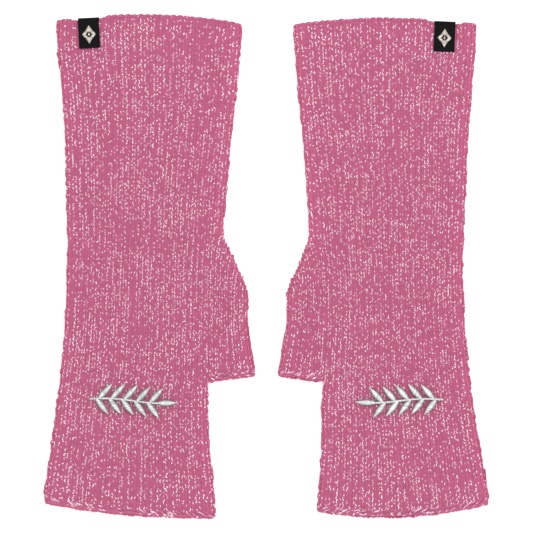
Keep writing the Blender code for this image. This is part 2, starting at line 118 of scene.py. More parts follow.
# How an edge rounds down to an opening: distance in from it, and share of the wall's height
EDGE_INSETS = (0.0, 0.6, 1.8)
EDGE_HEIGHTS = (0.40, 0.80, 1.00)

Course = namedtuple("Course", "outer_x outer_y split_x split_y bow")
ThumbSide = namedtuple("ThumbSide", "x y ribs")
Label = namedtuple("Label", "x y angle")
Sprig = namedtuple("Sprig", "x y angle grows")
Mitten = namedtuple("Mitten", "name courses thumb label sprig seed")

RIGHT_HAND = Mitten(
    name="right_hand",
    courses=(
        Course(-136.1, 160.0, -24.6, 159.2, 3.8),
        Course(-136.3, 143.6, -25.5, 144.0, 3.9),
        Course(-133.4, 117.6, -27.2, 117.8, 2.9),
        Course(-131.7, 91.6, -29.3, 91.6, 2.1),
        Course(-130.5, 65.6, -32.1, 65.4, 1.2),
        Course(-130.1, 42.9, -34.4, 42.4, 0.5),
        Course(-129.8, 22.8, -35.6, 20.6, 0.0),
        Course(-129.8, 4.5, -37.0, 2.0, -0.4),
        Course(-130.4, -13.0, -37.4, -16.4, -0.8),
        Course(-131.4, -38.3, -37.6, -42.0, -1.2),
        Course(-134.0, -68.3, -37.7, -75.4, -1.3),
        Course(-136.3, -86.5, -37.9, -93.0, -1.6),
        Course(-138.9, -108.5, -37.0, -116.4, -2.0),
        Course(-142.5, -131.8, -34.5, -140.7, -2.3),
        Course(-145.5, -153.9, -32.9, -163.9, -2.7),
    ),
    thumb=(
        ThumbSide(-16.0, 157.6, 2.0),
        ThumbSide(-17.0, 143.0, 2.0),
        ThumbSide(-19.0, 117.0, 2.0),
        ThumbSide(-22.2, 91.0, 2.0),
        ThumbSide(-24.5, 65.0, 2.0),
        ThumbSide(-26.8, 42.2, 2.0),
        ThumbSide(-27.4, 20.2, 2.0),
        ThumbSide(-20.2, 2.6, 5.0),
        ThumbSide(-12.4, -16.2, 8.0),
        ThumbSide(-11.8, -40.3, 8.0),
        ThumbSide(-6.9, -71.9, 8.0),
    ),
    label=Label(x=-115.7, y=160.8, angle=2.6),
    sprig=Sprig(x=-86.5, y=-87.6, angle=-2.5, grows=1),
    seed=11,
)

LEFT_HAND = Mitten(
    name="left_hand",
    courses=(
        Course(136.4, 157.7, 25.7, 158.2, 3.2),
        Course(136.4, 143.6, 26.8, 144.0, 3.6),
        Course(134.1, 117.6, 28.5, 117.8, 2.7),
        Course(131.8, 91.6, 30.8, 91.6, 1.9),
        Course(130.5, 65.6, 33.4, 65.4, 1.2),
        Course(129.6, 42.9, 35.5, 42.4, 0.5),
        Course(128.6, 22.8, 36.8, 20.6, 0.0),
        Course(127.9, 4.5, 38.2, 2.0, -0.4),
        Course(127.9, -13.0, 39.2, -16.4, -0.8),
        Course(129.2, -38.3, 39.3, -42.0, -1.2),
        Course(131.8, -68.3, 37.1, -75.1, -1.3),
        Course(134.4, -87.1, 35.9, -92.3, -1.6),
        Course(137.6, -109.2, 36.0, -115.9, -2.6),
        Course(141.8, -132.6, 34.5, -139.6, -3.9),
        Course(145.6, -154.9, 32.6, -159.9, -5.4),
    ),
    thumb=(
        ThumbSide(17.2, 157.1, 2.0),
        ThumbSide(18.4, 143.0, 2.0),
        ThumbSide(20.4, 117.0, 2.0),
        ThumbSide(23.0, 91.0, 2.0),
        ThumbSide(25.2, 65.0, 2.0),
        ThumbSide(26.5, 42.2, 2.0),
        ThumbSide(27.5, 20.2, 2.0),
        ThumbSide(21.7, 2.6, 5.0),
        ThumbSide(13.9, -16.2, 8.0),
        ThumbSide(12.6, -40.3, 8.0),
        ThumbSide(7.4, -72.0, 8.0),
    ),
    label=Label(x=116.0, y=158.5, angle=-2.2),
    sprig=Sprig(x=86.2, y=-87.6, angle=1.5, grows=-1),
    seed=23,
)

MITTENS = (RIGHT_HAND, LEFT_HAND)

# The rows of slanting loops at a cast-off edge, from the cloth out to the edge: where a loop starts
# and ends in from the edge, its reach in ribs, half width, height and chance of a fleck
CastOffLoop = namedtuple("CastOffLoop", "near far reach half_width height flecked")
CAST_OFF_LOOPS = (
    CastOffLoop(6.2, 2.4, 1.45, 0.6, 0.85, 0.30),
    CastOffLoop(3.0, 0.9, 1.1, 0.78, 0.8, 0.14),
    CastOffLoop(1.2, 0.3, 0.75, 0.85, 0.85, 0.08),
)

# One stretch of yarn or thread: rings along it, and points round each ring
RING_SHARES = (0.0, 0.2, 0.5, 0.8, 1.0)
RING_ANGLES = (-90.0, -32.0, 32.0, 90.0)


def catmull(values, at):
    """Values at fractional indices, on a smooth curve through the rows of a table."""
    values = np.asarray(values, float)
    low = np.clip(np.floor(at).astype(int), 0, len(values) - 2)
    share = (at - low)[..., None] if values.ndim > 1 else at - low
    before = values[np.maximum(low - 1, 0)]
    start = values[low]
    end = values[low + 1]
    after = values[np.minimum(low + 2, len(values) - 1)]
    slope_in = 0.5 * (end - before)
    slope_out = 0.5 * (after - start)
    cube = share**3
    square = share**2
    return (
        (2 * cube - 3 * square + 1) * start
        + (cube - 2 * square + share) * slope_in
        + (3 * square - 2 * cube) * end
        + (cube - square) * slope_out
    )


def ease(distance, over):
    """1 at an opening, falling smoothly to 0 at the distance over."""
    return 0.5 * (1.0 + np.cos(np.pi * np.clip(distance / over, 0.0, 1.0)))


def smooth(share):
    share = np.clip(share, 0.0, 1.0)
    return share * share * (3.0 - 2.0 * share)


def arch(share):
    """A flat-topped rise from 0 at both ends to 1 between them."""
    return 1.0 - (2.0 * np.clip(share, 0.0, 1.0) - 1.0) ** 4


def rounding(inset):
    """How far a corner's curve pulls a side in, at a distance from the opening's edge."""
    rest = CORNER_RADIUS - np.clip(inset, 0.0, CORNER_RADIUS)
    return CORNER_RADIUS - np.sqrt(CORNER_RADIUS**2 - rest**2)


def unit(vectors):
    return vectors / np.maximum(np.linalg.norm(vectors, axis=-1, keepdims=True), 1e-12)


def tapered(ends, near_ends, like):
    """Shares along stretches of yarn, full in their middles, in the shape of like."""
    return np.array([ends, near_ends, 1.0, near_ends, ends]) * np.ones_like(like)


def running_length(points):
    """Length along a line of points, up to each of them."""
    steps = np.linalg.norm(np.diff(points, axis=0), axis=-1)
    return np.concatenate([[0.0], np.cumsum(steps)])


def strip(one, other):
    """Quads between two lines of point numbers, or between many such pairs side by side."""
    return np.stack([one[:-1], other[:-1], other[1:], one[1:]], axis=-1)


def grid_quads(numbers):
    """Quads between the rows and columns of a grid of point numbers."""
    return np.stack([numbers[:-1, :-1], numbers[:-1, 1:], numbers[1:, 1:], numbers[1:, :-1]], axis=-1)


def wall_of(front):
    return FRONT_WALL if front else BACK_WALL


class Lay:
    """Where every course and rib of one mitten lies, in millimetres."""

    def __init__(self, mitten, inward=0.0):
        self.mitten = mitten
        self.inward = inward
        self.outer = np.array([(row.outer_x, row.outer_y) for row in mitten.courses])
        self.split = np.array([(row.split_x, row.split_y) for row in mitten.courses])
        self.bow = np.array([row.bow for row in mitten.courses])
        self.thumb = np.array([(row.x, row.y) for row in mitten.thumb])
        self.ribs = np.array([row.ribs for row in mitten.thumb])
        self.stations = running_length(0.5 * (self.outer + self.split))
        self.total = self.stations[-1]
        self.crotch = self.stations[CROTCH]
        self.side = -1.0 if self.split[0, 0] < self.outer[0, 0] else 1.0

    def course_at(self, length):
        return np.interp(length, self.stations, np.arange(len(self.stations)))

    def last_rib(self, length):
        """The rib number at the thumb side's edge."""
        course = np.minimum(self.course_at(length), CROTCH)
        beside = np.interp(course, np.arange(len(self.ribs)), self.ribs)
        return np.where(length <= self.crotch, HAND_RIBS + beside, HAND_RIBS)

    def variant(self, length, rib, wall, front, thumbed):
        course = self.course_at(length)
        outer = catmull(self.outer, course)
        split = catmull(self.split, course)
        bow = catmull(self.bow, course)
        pull = rounding(length) + rounding(self.total - length) + self.inward
        across = unit(split - outer)
        if thumbed:
            upper = np.minimum(course, CROTCH)
            end = catmull(self.thumb, upper)
            end = end - across * (pull + rounding(self.crotch - length))[..., None]
            beside = np.interp(upper, np.arange(len(self.ribs)), self.ribs)
        else:
            split = split - across * pull[..., None]
            end = split
            beside = np.ones_like(length)
        outer = outer + across * pull[..., None]
        hand = np.linalg.norm(split - outer, axis=-1)
        thumb = np.linalg.norm(end - split, axis=-1)
        whole = hand + thumb
        last = HAND_RIBS + (beside if thumbed else 0.0)
        on_hand = rib <= HAND_RIBS
        flat = np.where(on_hand, hand * rib / HAND_RIBS, hand + thumb * (rib - HAND_RIBS) / beside)
        extra = smooth(rib / ROLL_RIBS) + smooth(1.0 - (last - rib) / ROLL_RIBS)
        along = flat + ROLL_EXTRA * extra
        from_end = whole + 2.0 * ROLL_EXTRA - along
        near = np.clip(np.minimum(along, from_end), 0.0, ROLL_LENGTH)
        turn = 0.5 * np.pi * near / ROLL_LENGTH
        inset = SIDE_ROLL * (1.0 - np.cos(turn))
        rolled = np.where(along <= from_end, inset, whole - inset)
        plan = np.where(near < ROLL_LENGTH, rolled, along - ROLL_EXTRA)
        rise = np.sin(turn)
        share = np.clip(plan / hand, 0.0, 1.0)
        place = outer + (split - outer) * share[..., None]
        tuck = LABEL_TUCK * ease(length, LABEL_TUCK_DOWN)
        beside = np.abs(place[..., 0] - self.mitten.label.x) - LABEL_HALF_WIDTH
        tuck = tuck * ease(np.maximum(beside, 0.0), LABEL_TUCK_BESIDE)
        place[..., 1] += 4.0 * bow * share * (1.0 - share) - tuck
        beyond = np.clip((plan - hand) / np.maximum(thumb, 1e-6), 0.0, 1.0)
        place = place + (end - split) * beyond[..., None]
        heights = np.interp(np.minimum(length, self.total - length), EDGE_INSETS, EDGE_HEIGHTS)
        if thumbed:
            ends = np.clip((rib - HAND_RIBS) / THUMB_EDGE_RIBS, 0.0, 1.0)
            by_thumb = np.interp(self.crotch - length, EDGE_INSETS, EDGE_HEIGHTS)
            heights = heights * (1.0 + (by_thumb - 1.0) * ends)
        rise = rise * heights
        if front:
            z = Z_FRONT_FLOOR + self.lift(length, plan, hand, thumb, thumbed) + wall * rise
        else:
            z = Z_BACK_TOP - wall * rise
        return np.concatenate([place, z[..., None]], axis=-1)

    def lift(self, length, plan, hand, thumb, thumbed):
        """How far the front panel stands off the back one."""
        opened = CROWN + CUFF_OPENS * ease(length, CUFF_OPENS_OVER)
        opened = opened + FINGERS_OPEN * ease(self.total - length, FINGERS_OPEN_OVER)
        whole = arch(plan / (hand + thumb))
        if not thumbed:
            return opened * whole
        from_crotch = np.maximum(self.crotch - length, 0.0)
        parted = ease(from_crotch, THUMB_PARTS_OVER)
        beside = plan > hand
        hand_arch = arch(plan / hand)
        thumb_arch = arch((plan - hand) / np.maximum(thumb, 1e-6))
        apart = np.where(beside, thumb_arch, hand_arch)
        opened = opened + np.where(beside, THUMB_OPENS * ease(from_crotch, THUMB_OPENS_OVER), 0.0)
        return opened * (whole + (apart - whole) * parted)

    def place(self, length, rib, wall, front):
        """Points of a panel at a length from the cuff and a rib number, wall out of its inner face."""
        length, rib, wall = np.broadcast_arrays(
            np.asarray(length, float), np.asarray(rib, float), np.asarray(wall, float)
        )
        below = np.clip((length - self.crotch) / CROTCH_ROLL, 0.0, 1.0)
        below = np.where(rib > HAND_RIBS + 1e-9, 0.0, below)[..., None]
        hand = self.variant(length, np.minimum(rib, HAND_RIBS), wall, front, False)
        thumb = self.variant(np.minimum(length, self.total), rib, wall, front, True)
        return thumb * (1.0 - below) + hand * below

    def axes(self, length, rib, wall, front):
        """(points, unit normals out of the cloth, vectors to the next rib, unit vectors along the rib)."""
        step = 0.02
        here = self.place(length, rib, wall, front)
        low_rib = np.maximum(rib - step, 0.0)
        high_rib = np.minimum(rib + step, np.maximum(self.last_rib(length), low_rib + step))
        per_rib = self.place(length, high_rib, wall, front) - self.place(length, low_rib, wall, front)
        per_rib = per_rib / (high_rib - low_rib)[..., None]
        down = np.minimum(length + step * 5, self.total)
        up = np.maximum(length - step * 5, 0.0)
        along = self.place(down, rib, wall, front) - self.place(up, rib, wall, front)
        normal = unit(np.cross(along, per_rib))
        outward = self.side if front else -self.side
        return here, normal * outward, per_rib, unit(along)

    def find(self, spots):
        """(length, rib) of the hand's cloth under plan positions."""
        spots = np.asarray(spots, float)
        middle = 0.5 * (self.outer + self.split)
        order = np.argsort(middle[:, 1])
        length = np.interp(spots[..., 1], middle[order, 1], self.stations[order])
        rib = np.full_like(length, 0.5 * HAND_RIBS)
        for _ in range(8):
            here = self.place(length, rib, 0.0, True)[..., :2]
            by_length = (self.place(length + 0.5, rib, 0.0, True)[..., :2] - here) / 0.5
            by_rib = (self.place(length, rib + 0.1, 0.0, True)[..., :2] - here) / 0.1
            miss = spots - here
            area = by_length[..., 0] * by_rib[..., 1] - by_length[..., 1] * by_rib[..., 0]
            step_l = (miss[..., 0] * by_rib[..., 1] - miss[..., 1] * by_rib[..., 0]) / area
            step_r = (by_length[..., 0] * miss[..., 1] - by_length[..., 1] * miss[..., 0]) / area
            length = np.clip(length + step_l, 0.9, self.total - 1.0)
            rib = np.clip(rib + step_r, 1.0, HAND_RIBS - 1.0)
        return length, rib

    def heights(self, spots):
        """(inner face, ribs' crowns) of the front panel under plan positions."""
        length, rib = self.find(spots)
        floor = self.place(length, rib, 0.0, True)[..., 2]
        return floor, floor + FRONT_WALL


OUTLINES = {mitten.name: Lay(mitten) for mitten in MITTENS}
LAYS = {mitten.name: Lay(mitten, inward=STITCH_ROOM) for mitten in MITTENS}


def spots_in(place, along, across):
    """Plan positions in the turned frame of a label or a sprig."""
    turn = math.radians(place.angle)
    x = place.x + along * math.cos(turn) - across * math.sin(turn)
    y = place.y + along * math.sin(turn) + across * math.cos(turn)
    return np.stack([x, y], axis=-1)


def write_mesh(name, points, faces, material, uvs=None, values=None, smooth_angle=None):
    """A mesh object from points in millimetres and an array of triangles or quads."""
    mesh = bpy.data.meshes.new(name)
    points = np.ascontiguousarray(points, np.float32) * np.float32(MM)
    faces = np.ascontiguousarray(faces, np.int32)
    corners = faces.shape[1]
    mesh.vertices.add(len(points))
    mesh.vertices.foreach_set("co", points.ravel())
    mesh.loops.add(faces.size)
    mesh.loops.foreach_set("vertex_index", faces.ravel())
    mesh.polygons.add(len(faces))
    mesh.polygons.foreach_set("loop_start", np.arange(0, faces.size, corners, dtype=np.int32))
    mesh.update(calc_edges=True)
    for layer_name, layer in (uvs or {}).items():
        made = mesh.uv_layers.new(name=layer_name)
        made.uv.foreach_set("vector", np.ascontiguousarray(layer, np.float32).ravel())
    for value_name, value in (values or {}).items():
        made = mesh.attributes.new(value_name, "FLOAT", "POINT")
        made.data.foreach_set("value", np.ascontiguousarray(value, np.float32).ravel())
    mesh.shade_smooth()
    if smooth_angle:
        mesh.set_sharp_from_angle(angle=math.radians(smooth_angle))
    mesh.materials.append(material)
    obj = bpy.data.objects.new(name, mesh)
    bpy.context.scene.collection.objects.link(obj)
    return obj


def run_template():
    """Triangles of one closed stretch of yarn, with each corner's (across, along) and bake cell."""
    rings = len(RING_SHARES) - 2
    around = len(RING_ANGLES)
    last = 1 + rings * around
    across = [0.0, 0.33, 0.67, 1.0]
    tris = []
    local = []
    cell = []
    for side in range(around):
        other = (side + 1) % around
        under = side == around - 1
        left = 0.84 if under else 0.03 + 0.77 * across[side]
        right = 0.97 if under else 0.03 + 0.77 * across[other]
        near = across[side]
        far = across[other] if not under else 0.9
        for ring in range(rings + 1):
            low = RING_SHARES[ring]
            high = RING_SHARES[ring + 1]
            v_low = 0.04 + 0.92 * low
            v_high = 0.04 + 0.92 * high
            a = 1 + (ring - 1) * around + side
            b = 1 + (ring - 1) * around + other
            c = 1 + ring * around + other
            d = 1 + ring * around + side
            mid = 0.5 * (left + right)
            if ring == 0:
                tris.append((0, c, d))
                local.append(((0.5, low), (far, high), (near, high)))
                cell.append(((mid, v_low), (right, v_high), (left, v_high)))
            elif ring == rings:
                tris.append((a, b, last))
                local.append(((near, low), (far, low), (0.5, high)))
                cell.append(((left, v_low), (right, v_low), (mid, v_high)))
            else:
                tris.append((a, b, c))
                local.append(((near, low), (far, low), (far, high)))
                cell.append(((left, v_low), (right, v_low), (right, v_high)))
                tris.append((a, c, d))
                local.append(((near, low), (far, high), (near, high)))
                cell.append(((left, v_low), (right, v_high), (left, v_high)))
    return np.array(tris), np.array(local), np.array(cell)


RUN_TRIS, RUN_LOCAL, RUN_CELL = run_template()
RUN_POINTS = 2 + (len(RING_SHARES) - 2) * len(RING_ANGLES)


def runs(centres, normals, half_width, height):
    """Points of stretches of yarn from their middle lines, 5 places to each."""
    along = np.empty_like(centres)
    along[:, 1:-1] = centres[:, 2:] - centres[:, :-2]
    along[:, 0] = centres[:, 1] - centres[:, 0]
    along[:, -1] = centres[:, -1] - centres[:, -2]
    sideways = unit(np.cross(normals, unit(along)))
    normals = unit(normals)
    points = [centres[:, 0][:, None]]
    for ring in range(1, len(RING_SHARES) - 1):
        for angle in RING_ANGLES:
            turn = math.radians(angle)
            out = sideways[:, ring] * (half_width[:, ring] * math.sin(turn))[:, None]
            up = normals[:, ring] * (height[:, ring] * math.cos(turn))[:, None]
            points.append((centres[:, ring] + out + up)[:, None])
    points.append(centres[:, -1][:, None])
    return np.concatenate(points, axis=1)


def write_runs(name, points, material, values):
    """One joined mesh from the points of many stretches of yarn, none of them under the floor."""
    count = len(points)
    points[..., 2] = np.maximum(points[..., 2], 0.0)
    faces = (RUN_TRIS[None] + RUN_POINTS * np.arange(count)[:, None, None]).reshape(-1, 3)
    grid = math.ceil(math.sqrt(count))
    number = np.arange(count)
    corner = np.stack([number % grid, number // grid], axis=-1)[:, None, None, :]
    local = np.broadcast_to(RUN_LOCAL[None], (count, *RUN_LOCAL.shape))
    cells = (corner + RUN_CELL[None]) / grid
    spread = {key: np.repeat(value, RUN_POINTS) for key, value in values.items()}
    return write_mesh(
        name,
        points.reshape(-1, 3),
        faces,
        material,
        uvs={"OFBake": cells.reshape(-1, 2), "Yarn": local.reshape(-1, 2)},
        values=spread,
    )


def soft_noise(seed, across, along, cell_across, cell_along):
    """Smooth random values from -1 to 1 over ribs and lengths."""
    rng = np.random.default_rng(seed)
    table = rng.uniform(-1.0, 1.0, (64, 128))
    x = across / cell_across + 3.0
    y = along / cell_along + 3.0
    xi = np.floor(x).astype(int)
    yi = np.floor(y).astype(int)
    fx = smooth(x - xi)
    fy = smooth(y - yi)
    top = table[xi % 64, yi % 128] * (1 - fx) + table[(xi + 1) % 64, yi % 128] * fx
    low = table[xi % 64, (yi + 1) % 128] * (1 - fx) + table[(xi + 1) % 64, (yi + 1) % 128] * fx
    return top * (1 - fy) + low * fy


def new_group(name, inputs, outputs):
    """An empty shader node group with named sockets, and its two end nodes."""
    group = bpy.data.node_groups.new(name, "ShaderNodeTree")
    for socket_name, kind, default in inputs:
        socket = group.interface.new_socket(socket_name, in_out="INPUT", socket_type=kind)
        if default is not None:
            socket.default_value = default
    for socket_name, kind in outputs:
        group.interface.new_socket(socket_name, in_out="OUTPUT", socket_type=kind)
    return group, group.nodes.new("NodeGroupInput"), group.nodes.new("NodeGroupOutput")


def feed(tree, socket, value):
    """Links a socket to another node's output, or sets its own value."""
    if isinstance(value, bpy.types.NodeSocket):
        tree.links.new(value, socket)
    else:
        socket.default_value = value


def math_node(tree, operation, *values):
    node = tree.nodes.new("ShaderNodeMath")
    node.operation = operation
    for socket, value in zip(node.inputs, values):
        feed(tree, socket, value)
    return node.outputs[0]


def mix_colour(tree, share, first, second):
    node = tree.nodes.new("ShaderNodeMix")
    node.data_type = "RGBA"
    for socket, value in ((node.inputs[0], share), (node.inputs[6], first), (node.inputs[7], second)):
        feed(tree, socket, value)
    return node.outputs[2]


def map_range(tree, value, low, high, to_low=0.0, to_high=1.0, kind="SMOOTHSTEP"):
    node = tree.nodes.new("ShaderNodeMapRange")
    node.interpolation_type = kind
    for socket, given in zip(node.inputs, (value, low, high, to_low, to_high)):
        feed(tree, socket, given)
    return node.outputs[0]


def noise_node(tree, vector, scale, detail=1.0, rough=0.5):
    node = tree.nodes.new("ShaderNodeTexNoise")
    node.inputs["Scale"].default_value = scale
    node.inputs["Detail"].default_value = detail
    node.inputs["Roughness"].default_value = rough
    tree.links.new(vector, node.inputs["Vector"])
    return node.outputs["Fac"]


def combine(tree, *values):
    node = tree.nodes.new("ShaderNodeCombineXYZ")
    for socket, value in zip(node.inputs, values):
        feed(tree, socket, value)
    return node.outputs[0]


def separate(tree, vector):
    node = tree.nodes.new("ShaderNodeSeparateXYZ")
    tree.links.new(vector, node.inputs[0])
    return node.outputs


def scaled(tree, colour, factor):
    """A colour made lighter or darker by a factor that changes over the surface."""
    node = tree.nodes.new("ShaderNodeVectorMath")
    node.operation = "SCALE"
    feed(tree, node.inputs[0], colour)
    tree.links.new(factor, node.inputs["Scale"])
    return node.outputs[0]


def place_group(tree, group, values):
    """A node group in a material, with each named input linked or set."""
    node = tree.nodes.new("ShaderNodeGroup")
    node.node_tree = group
    for name, value in values.items():
        feed(tree, node.inputs[name], value)
    return node


def marl_group():
    """Marled two-ply yarn: pink, with up to two short white flecks along each stretch of it."""
    name = "marled two-ply yarn"
    if name in bpy.data.node_groups:
        return bpy.data.node_groups[name]
    colour = "NodeSocketColor"
    number = "NodeSocketFloat"
    group, given, made = new_group(
        name,
        (
            ("Yarn Place", "NodeSocketVector", None),
            ("Seed", number, 0.0),
            ("Upper Fleck", number, 0.5),
            ("Lower Fleck", number, 0.5),
            ("Fleck Width", number, 0.2),
            ("Fleck Length", number, 0.15),
            ("Yarn Colour", colour, (0.5, 0.15, 0.25, 1.0)),
            ("Side Colour", colour, (0.6, 0.13, 0.26, 1.0)),
            ("Fleck Colour", colour, (0.9, 0.8, 0.85, 1.0)),
            ("Shade Variation", number, 0.12),
            ("Paler Edge", number, 0.0),
        ),
        (("Colour", colour), ("Height", number)),
    )

    def calc(operation, *values):
        return math_node(group, operation, *values)

    across, along, _ = separate(group, given.outputs["Yarn Place"])
    seed = given.outputs["Seed"]
    z = calc("MULTIPLY", seed, 53.0)
    ragged_place = combine(group, calc("MULTIPLY", across, 4.0), calc("MULTIPLY", along, 7.0), z)
    ragged = calc("SUBTRACT", noise_node(group, ragged_place, 1.0, 2.0, 0.6), 0.5)
    flecks = None
    for socket, middle, factor in (("Upper Fleck", 0.34, 7.31), ("Lower Fleck", 0.68, 13.73)):
        drawn = calc("FRACT", calc("MULTIPLY", seed, factor))
        second = calc("FRACT", calc("MULTIPLY", seed, factor * 3.17))
        lane = calc("MULTIPLY_ADD", drawn, 0.36, 0.32)
        tilt = calc("MULTIPLY_ADD", second, 5.0, -2.5)
        from_middle = calc("SUBTRACT", along, middle)
        from_middle = calc("ADD", from_middle, calc("MULTIPLY_ADD", second, 0.2, -0.1))
        lane = calc("MULTIPLY_ADD", from_middle, tilt, lane)
        lane = calc("MULTIPLY_ADD", ragged, 0.22, lane)
        half_width = calc("MULTIPLY_ADD", drawn, 0.5, 0.75)
        half_width = calc("MULTIPLY", half_width, given.outputs["Fleck Width"])
        aside = calc("DIVIDE", calc("SUBTRACT", across, lane), half_width)
        away = calc("DIVIDE", from_middle, given.outputs["Fleck Length"])
        away = calc("MULTIPLY", away, calc("MULTIPLY_ADD", drawn, 0.7, 0.65))
        away = calc("MULTIPLY_ADD", ragged, 0.5, away)
        squares = [calc("POWER", calc("ABSOLUTE", distance), 2.0) for distance in (aside, away)]
        apart = calc("SQRT", calc("ADD", *squares))
        stroke = map_range(group, apart, 0.84, 1.14, 1.0, 0.0)
        stroke = calc("MULTIPLY", stroke, given.outputs[socket])
        flecks = stroke if flecks is None else calc("MAXIMUM", flecks, stroke)
    skewed = calc("MULTIPLY_ADD", along, 0.45, across)
    fine_place = combine(group, calc("MULTIPLY", skewed, 9.0), calc("MULTIPLY", along, 5.0), z)
    fine = noise_node(group, fine_place, 1.0, 2.0, 0.6)
    drawn = calc("FRACT", calc("MULTIPLY", seed, 91.7))
    tone = calc("MULTIPLY_ADD", fine, 0.5, drawn)
    tone = calc("SUBTRACT", tone, 0.75)
    tone = calc("MULTIPLY_ADD", tone, given.outputs["Shade Variation"], 1.0)
    # Painted light: stitches by the side edges are made up to 13% lighter, standing in for light that
    # reaches the rolled edges from the sides.
    edge_light_gain = calc("MULTIPLY_ADD", given.outputs["Paler Edge"], 0.13, 1.0)
    tone = calc("MULTIPLY", tone, edge_light_gain)
    # Painted shade: each stretch of yarn is mixed towards the darker furrow colour at its sides and its
    # ends, where it tucks under its neighbours.
    from_crown = calc("ABSOLUTE", calc("SUBTRACT", across, 0.5))
    beside = map_range(group, from_crown, 0.12, 0.5)
    from_half = calc("ABSOLUTE", calc("SUBTRACT", along, 0.5))
    beside = calc("MAXIMUM", beside, map_range(group, from_half, 0.25, 0.5))
    pink = mix_colour(group, beside, given.outputs["Yarn Colour"], given.outputs["Side Colour"])
    colour_out = mix_colour(group, flecks, scaled(group, pink, tone), given.outputs["Fleck Colour"])
    group.links.new(colour_out, made.inputs["Colour"])
    ply = calc("SINE", calc("ADD", calc("MULTIPLY", across, 6.3), calc("MULTIPLY", along, 7.5)))
    height = calc("ADD", calc("MULTIPLY", ply, 0.5), calc("MULTIPLY", fine, 1.2))
    group.links.new(height, made.inputs["Height"])
    return group


def thread_group():
    """Fine parallel threads, for woven ribbon and satin stitch."""
    name = "fine parallel threads"
    if name in bpy.data.node_groups:
        return bpy.data.node_groups[name]
    number = "NodeSocketFloat"
    group, given, made = new_group(
        name,
        (
            ("Place", "NodeSocketVector", None),
            ("Threads Across", number, 20.0),
            ("Threads Along", number, 30.0),
            ("Unevenness", number, 0.3),
        ),
        (("Height", number), ("Shade", number)),
    )

    def calc(operation, *values):
        return math_node(group, operation, *values)

    across, along, _ = separate(group, given.outputs["Place"])
    waves = []
    for place, threads in ((across, "Threads Across"), (along, "Threads Along")):
        turns = calc("MULTIPLY", place, given.outputs[threads])
        waves.append(calc("SINE", calc("MULTIPLY", turns, 2.0 * math.pi)))
    woven = calc("MULTIPLY", *waves)
    uneven = noise_node(group, given.outputs["Place"], 14.0, 3.0, 0.6)
    spread = calc("MULTIPLY", calc("SUBTRACT", uneven, 0.5), given.outputs["Unevenness"])
    height = calc("ADD", calc("MULTIPLY", woven, 0.5), spread)
    group.links.new(height, made.inputs["Height"])
    # The shade follows the weave: crowns painted lighter and dips painted darker, a painted highlight and
    # shade, plus a random unevenness of tone.
    shade = calc("MULTIPLY_ADD", woven, 0.12, calc("ADD", spread, 1.0))
    group.links.new(shade, made.inputs["Shade"])
    return group


def new_material(name, roughness, sheen=0.0, metallic=0.0):
    material = bpy.data.materials.new(name)
    material.use_nodes = True
    shader = material.node_tree.nodes["Principled BSDF"]
    shader.inputs["Roughness"].default_value = roughness
    shader.inputs["Metallic"].default_value = metallic
    shader.inputs["Specular IOR Level"].default_value = 0.2
    if sheen:
        shader.inputs["Sheen Weight"].default_value = sheen
        shader.inputs["Sheen Roughness"].default_value = 0.6
    return material, material.node_tree, shader


def add_bump(tree, shader, height, distance, strength):
    bump = tree.nodes.new("ShaderNodeBump")
    bump.inputs["Distance"].default_value = distance
    bump.inputs["Strength"].default_value = strength
    tree.links.new(height, bump.inputs["Height"])
    tree.links.new(bump.outputs[0], shader.inputs["Normal"])


def object_place(tree):
    return tree.nodes.new("ShaderNodeTexCoord").outputs["Object"]


def attribute(tree, name):
    node = tree.nodes.new("ShaderNodeAttribute")
    node.attribute_name = name
    return node.outputs["Fac"]


def uv_map(tree, name):
    node = tree.nodes.new("ShaderNodeUVMap")
    node.uv_map = name
    return node.outputs[0]


def tint(colour, factor=1.0):
    """A colour made lighter or darker, with full alpha."""
    return (*(value * factor for value in colour), 1.0)


def yarn_material(settings, name="pink marled yarn", fleck_length=None):
    """The marled yarn of the stitches, or of the cast-off loops, where its flecks show longer."""
    if name in bpy.data.materials:
        return bpy.data.materials[name]
    material, tree, shader = new_material(name, 0.9, sheen=0.06)
    values = {
        "Yarn Place": uv_map(tree, "Yarn"),
        "Fleck Width": settings.fleck_width,
        "Fleck Length": fleck_length or settings.fleck_length,
        "Yarn Colour": tint(settings.yarn_colour),
        "Side Colour": tint(settings.furrow_shade_colour),
        "Fleck Colour": tint(settings.fleck_colour),
        "Shade Variation": settings.shade_variation,
    }
    for socket in ("Seed", "Upper Fleck", "Lower Fleck", "Paler Edge"):
        values[socket] = attribute(tree, socket.lower().replace(" ", "_"))
    marl = place_group(tree, marl_group(), values)
    tree.links.new(marl.outputs["Colour"], shader.inputs["Base Color"])
    add_bump(tree, shader, marl.outputs["Height"], 0.00012, 0.6)
    return material


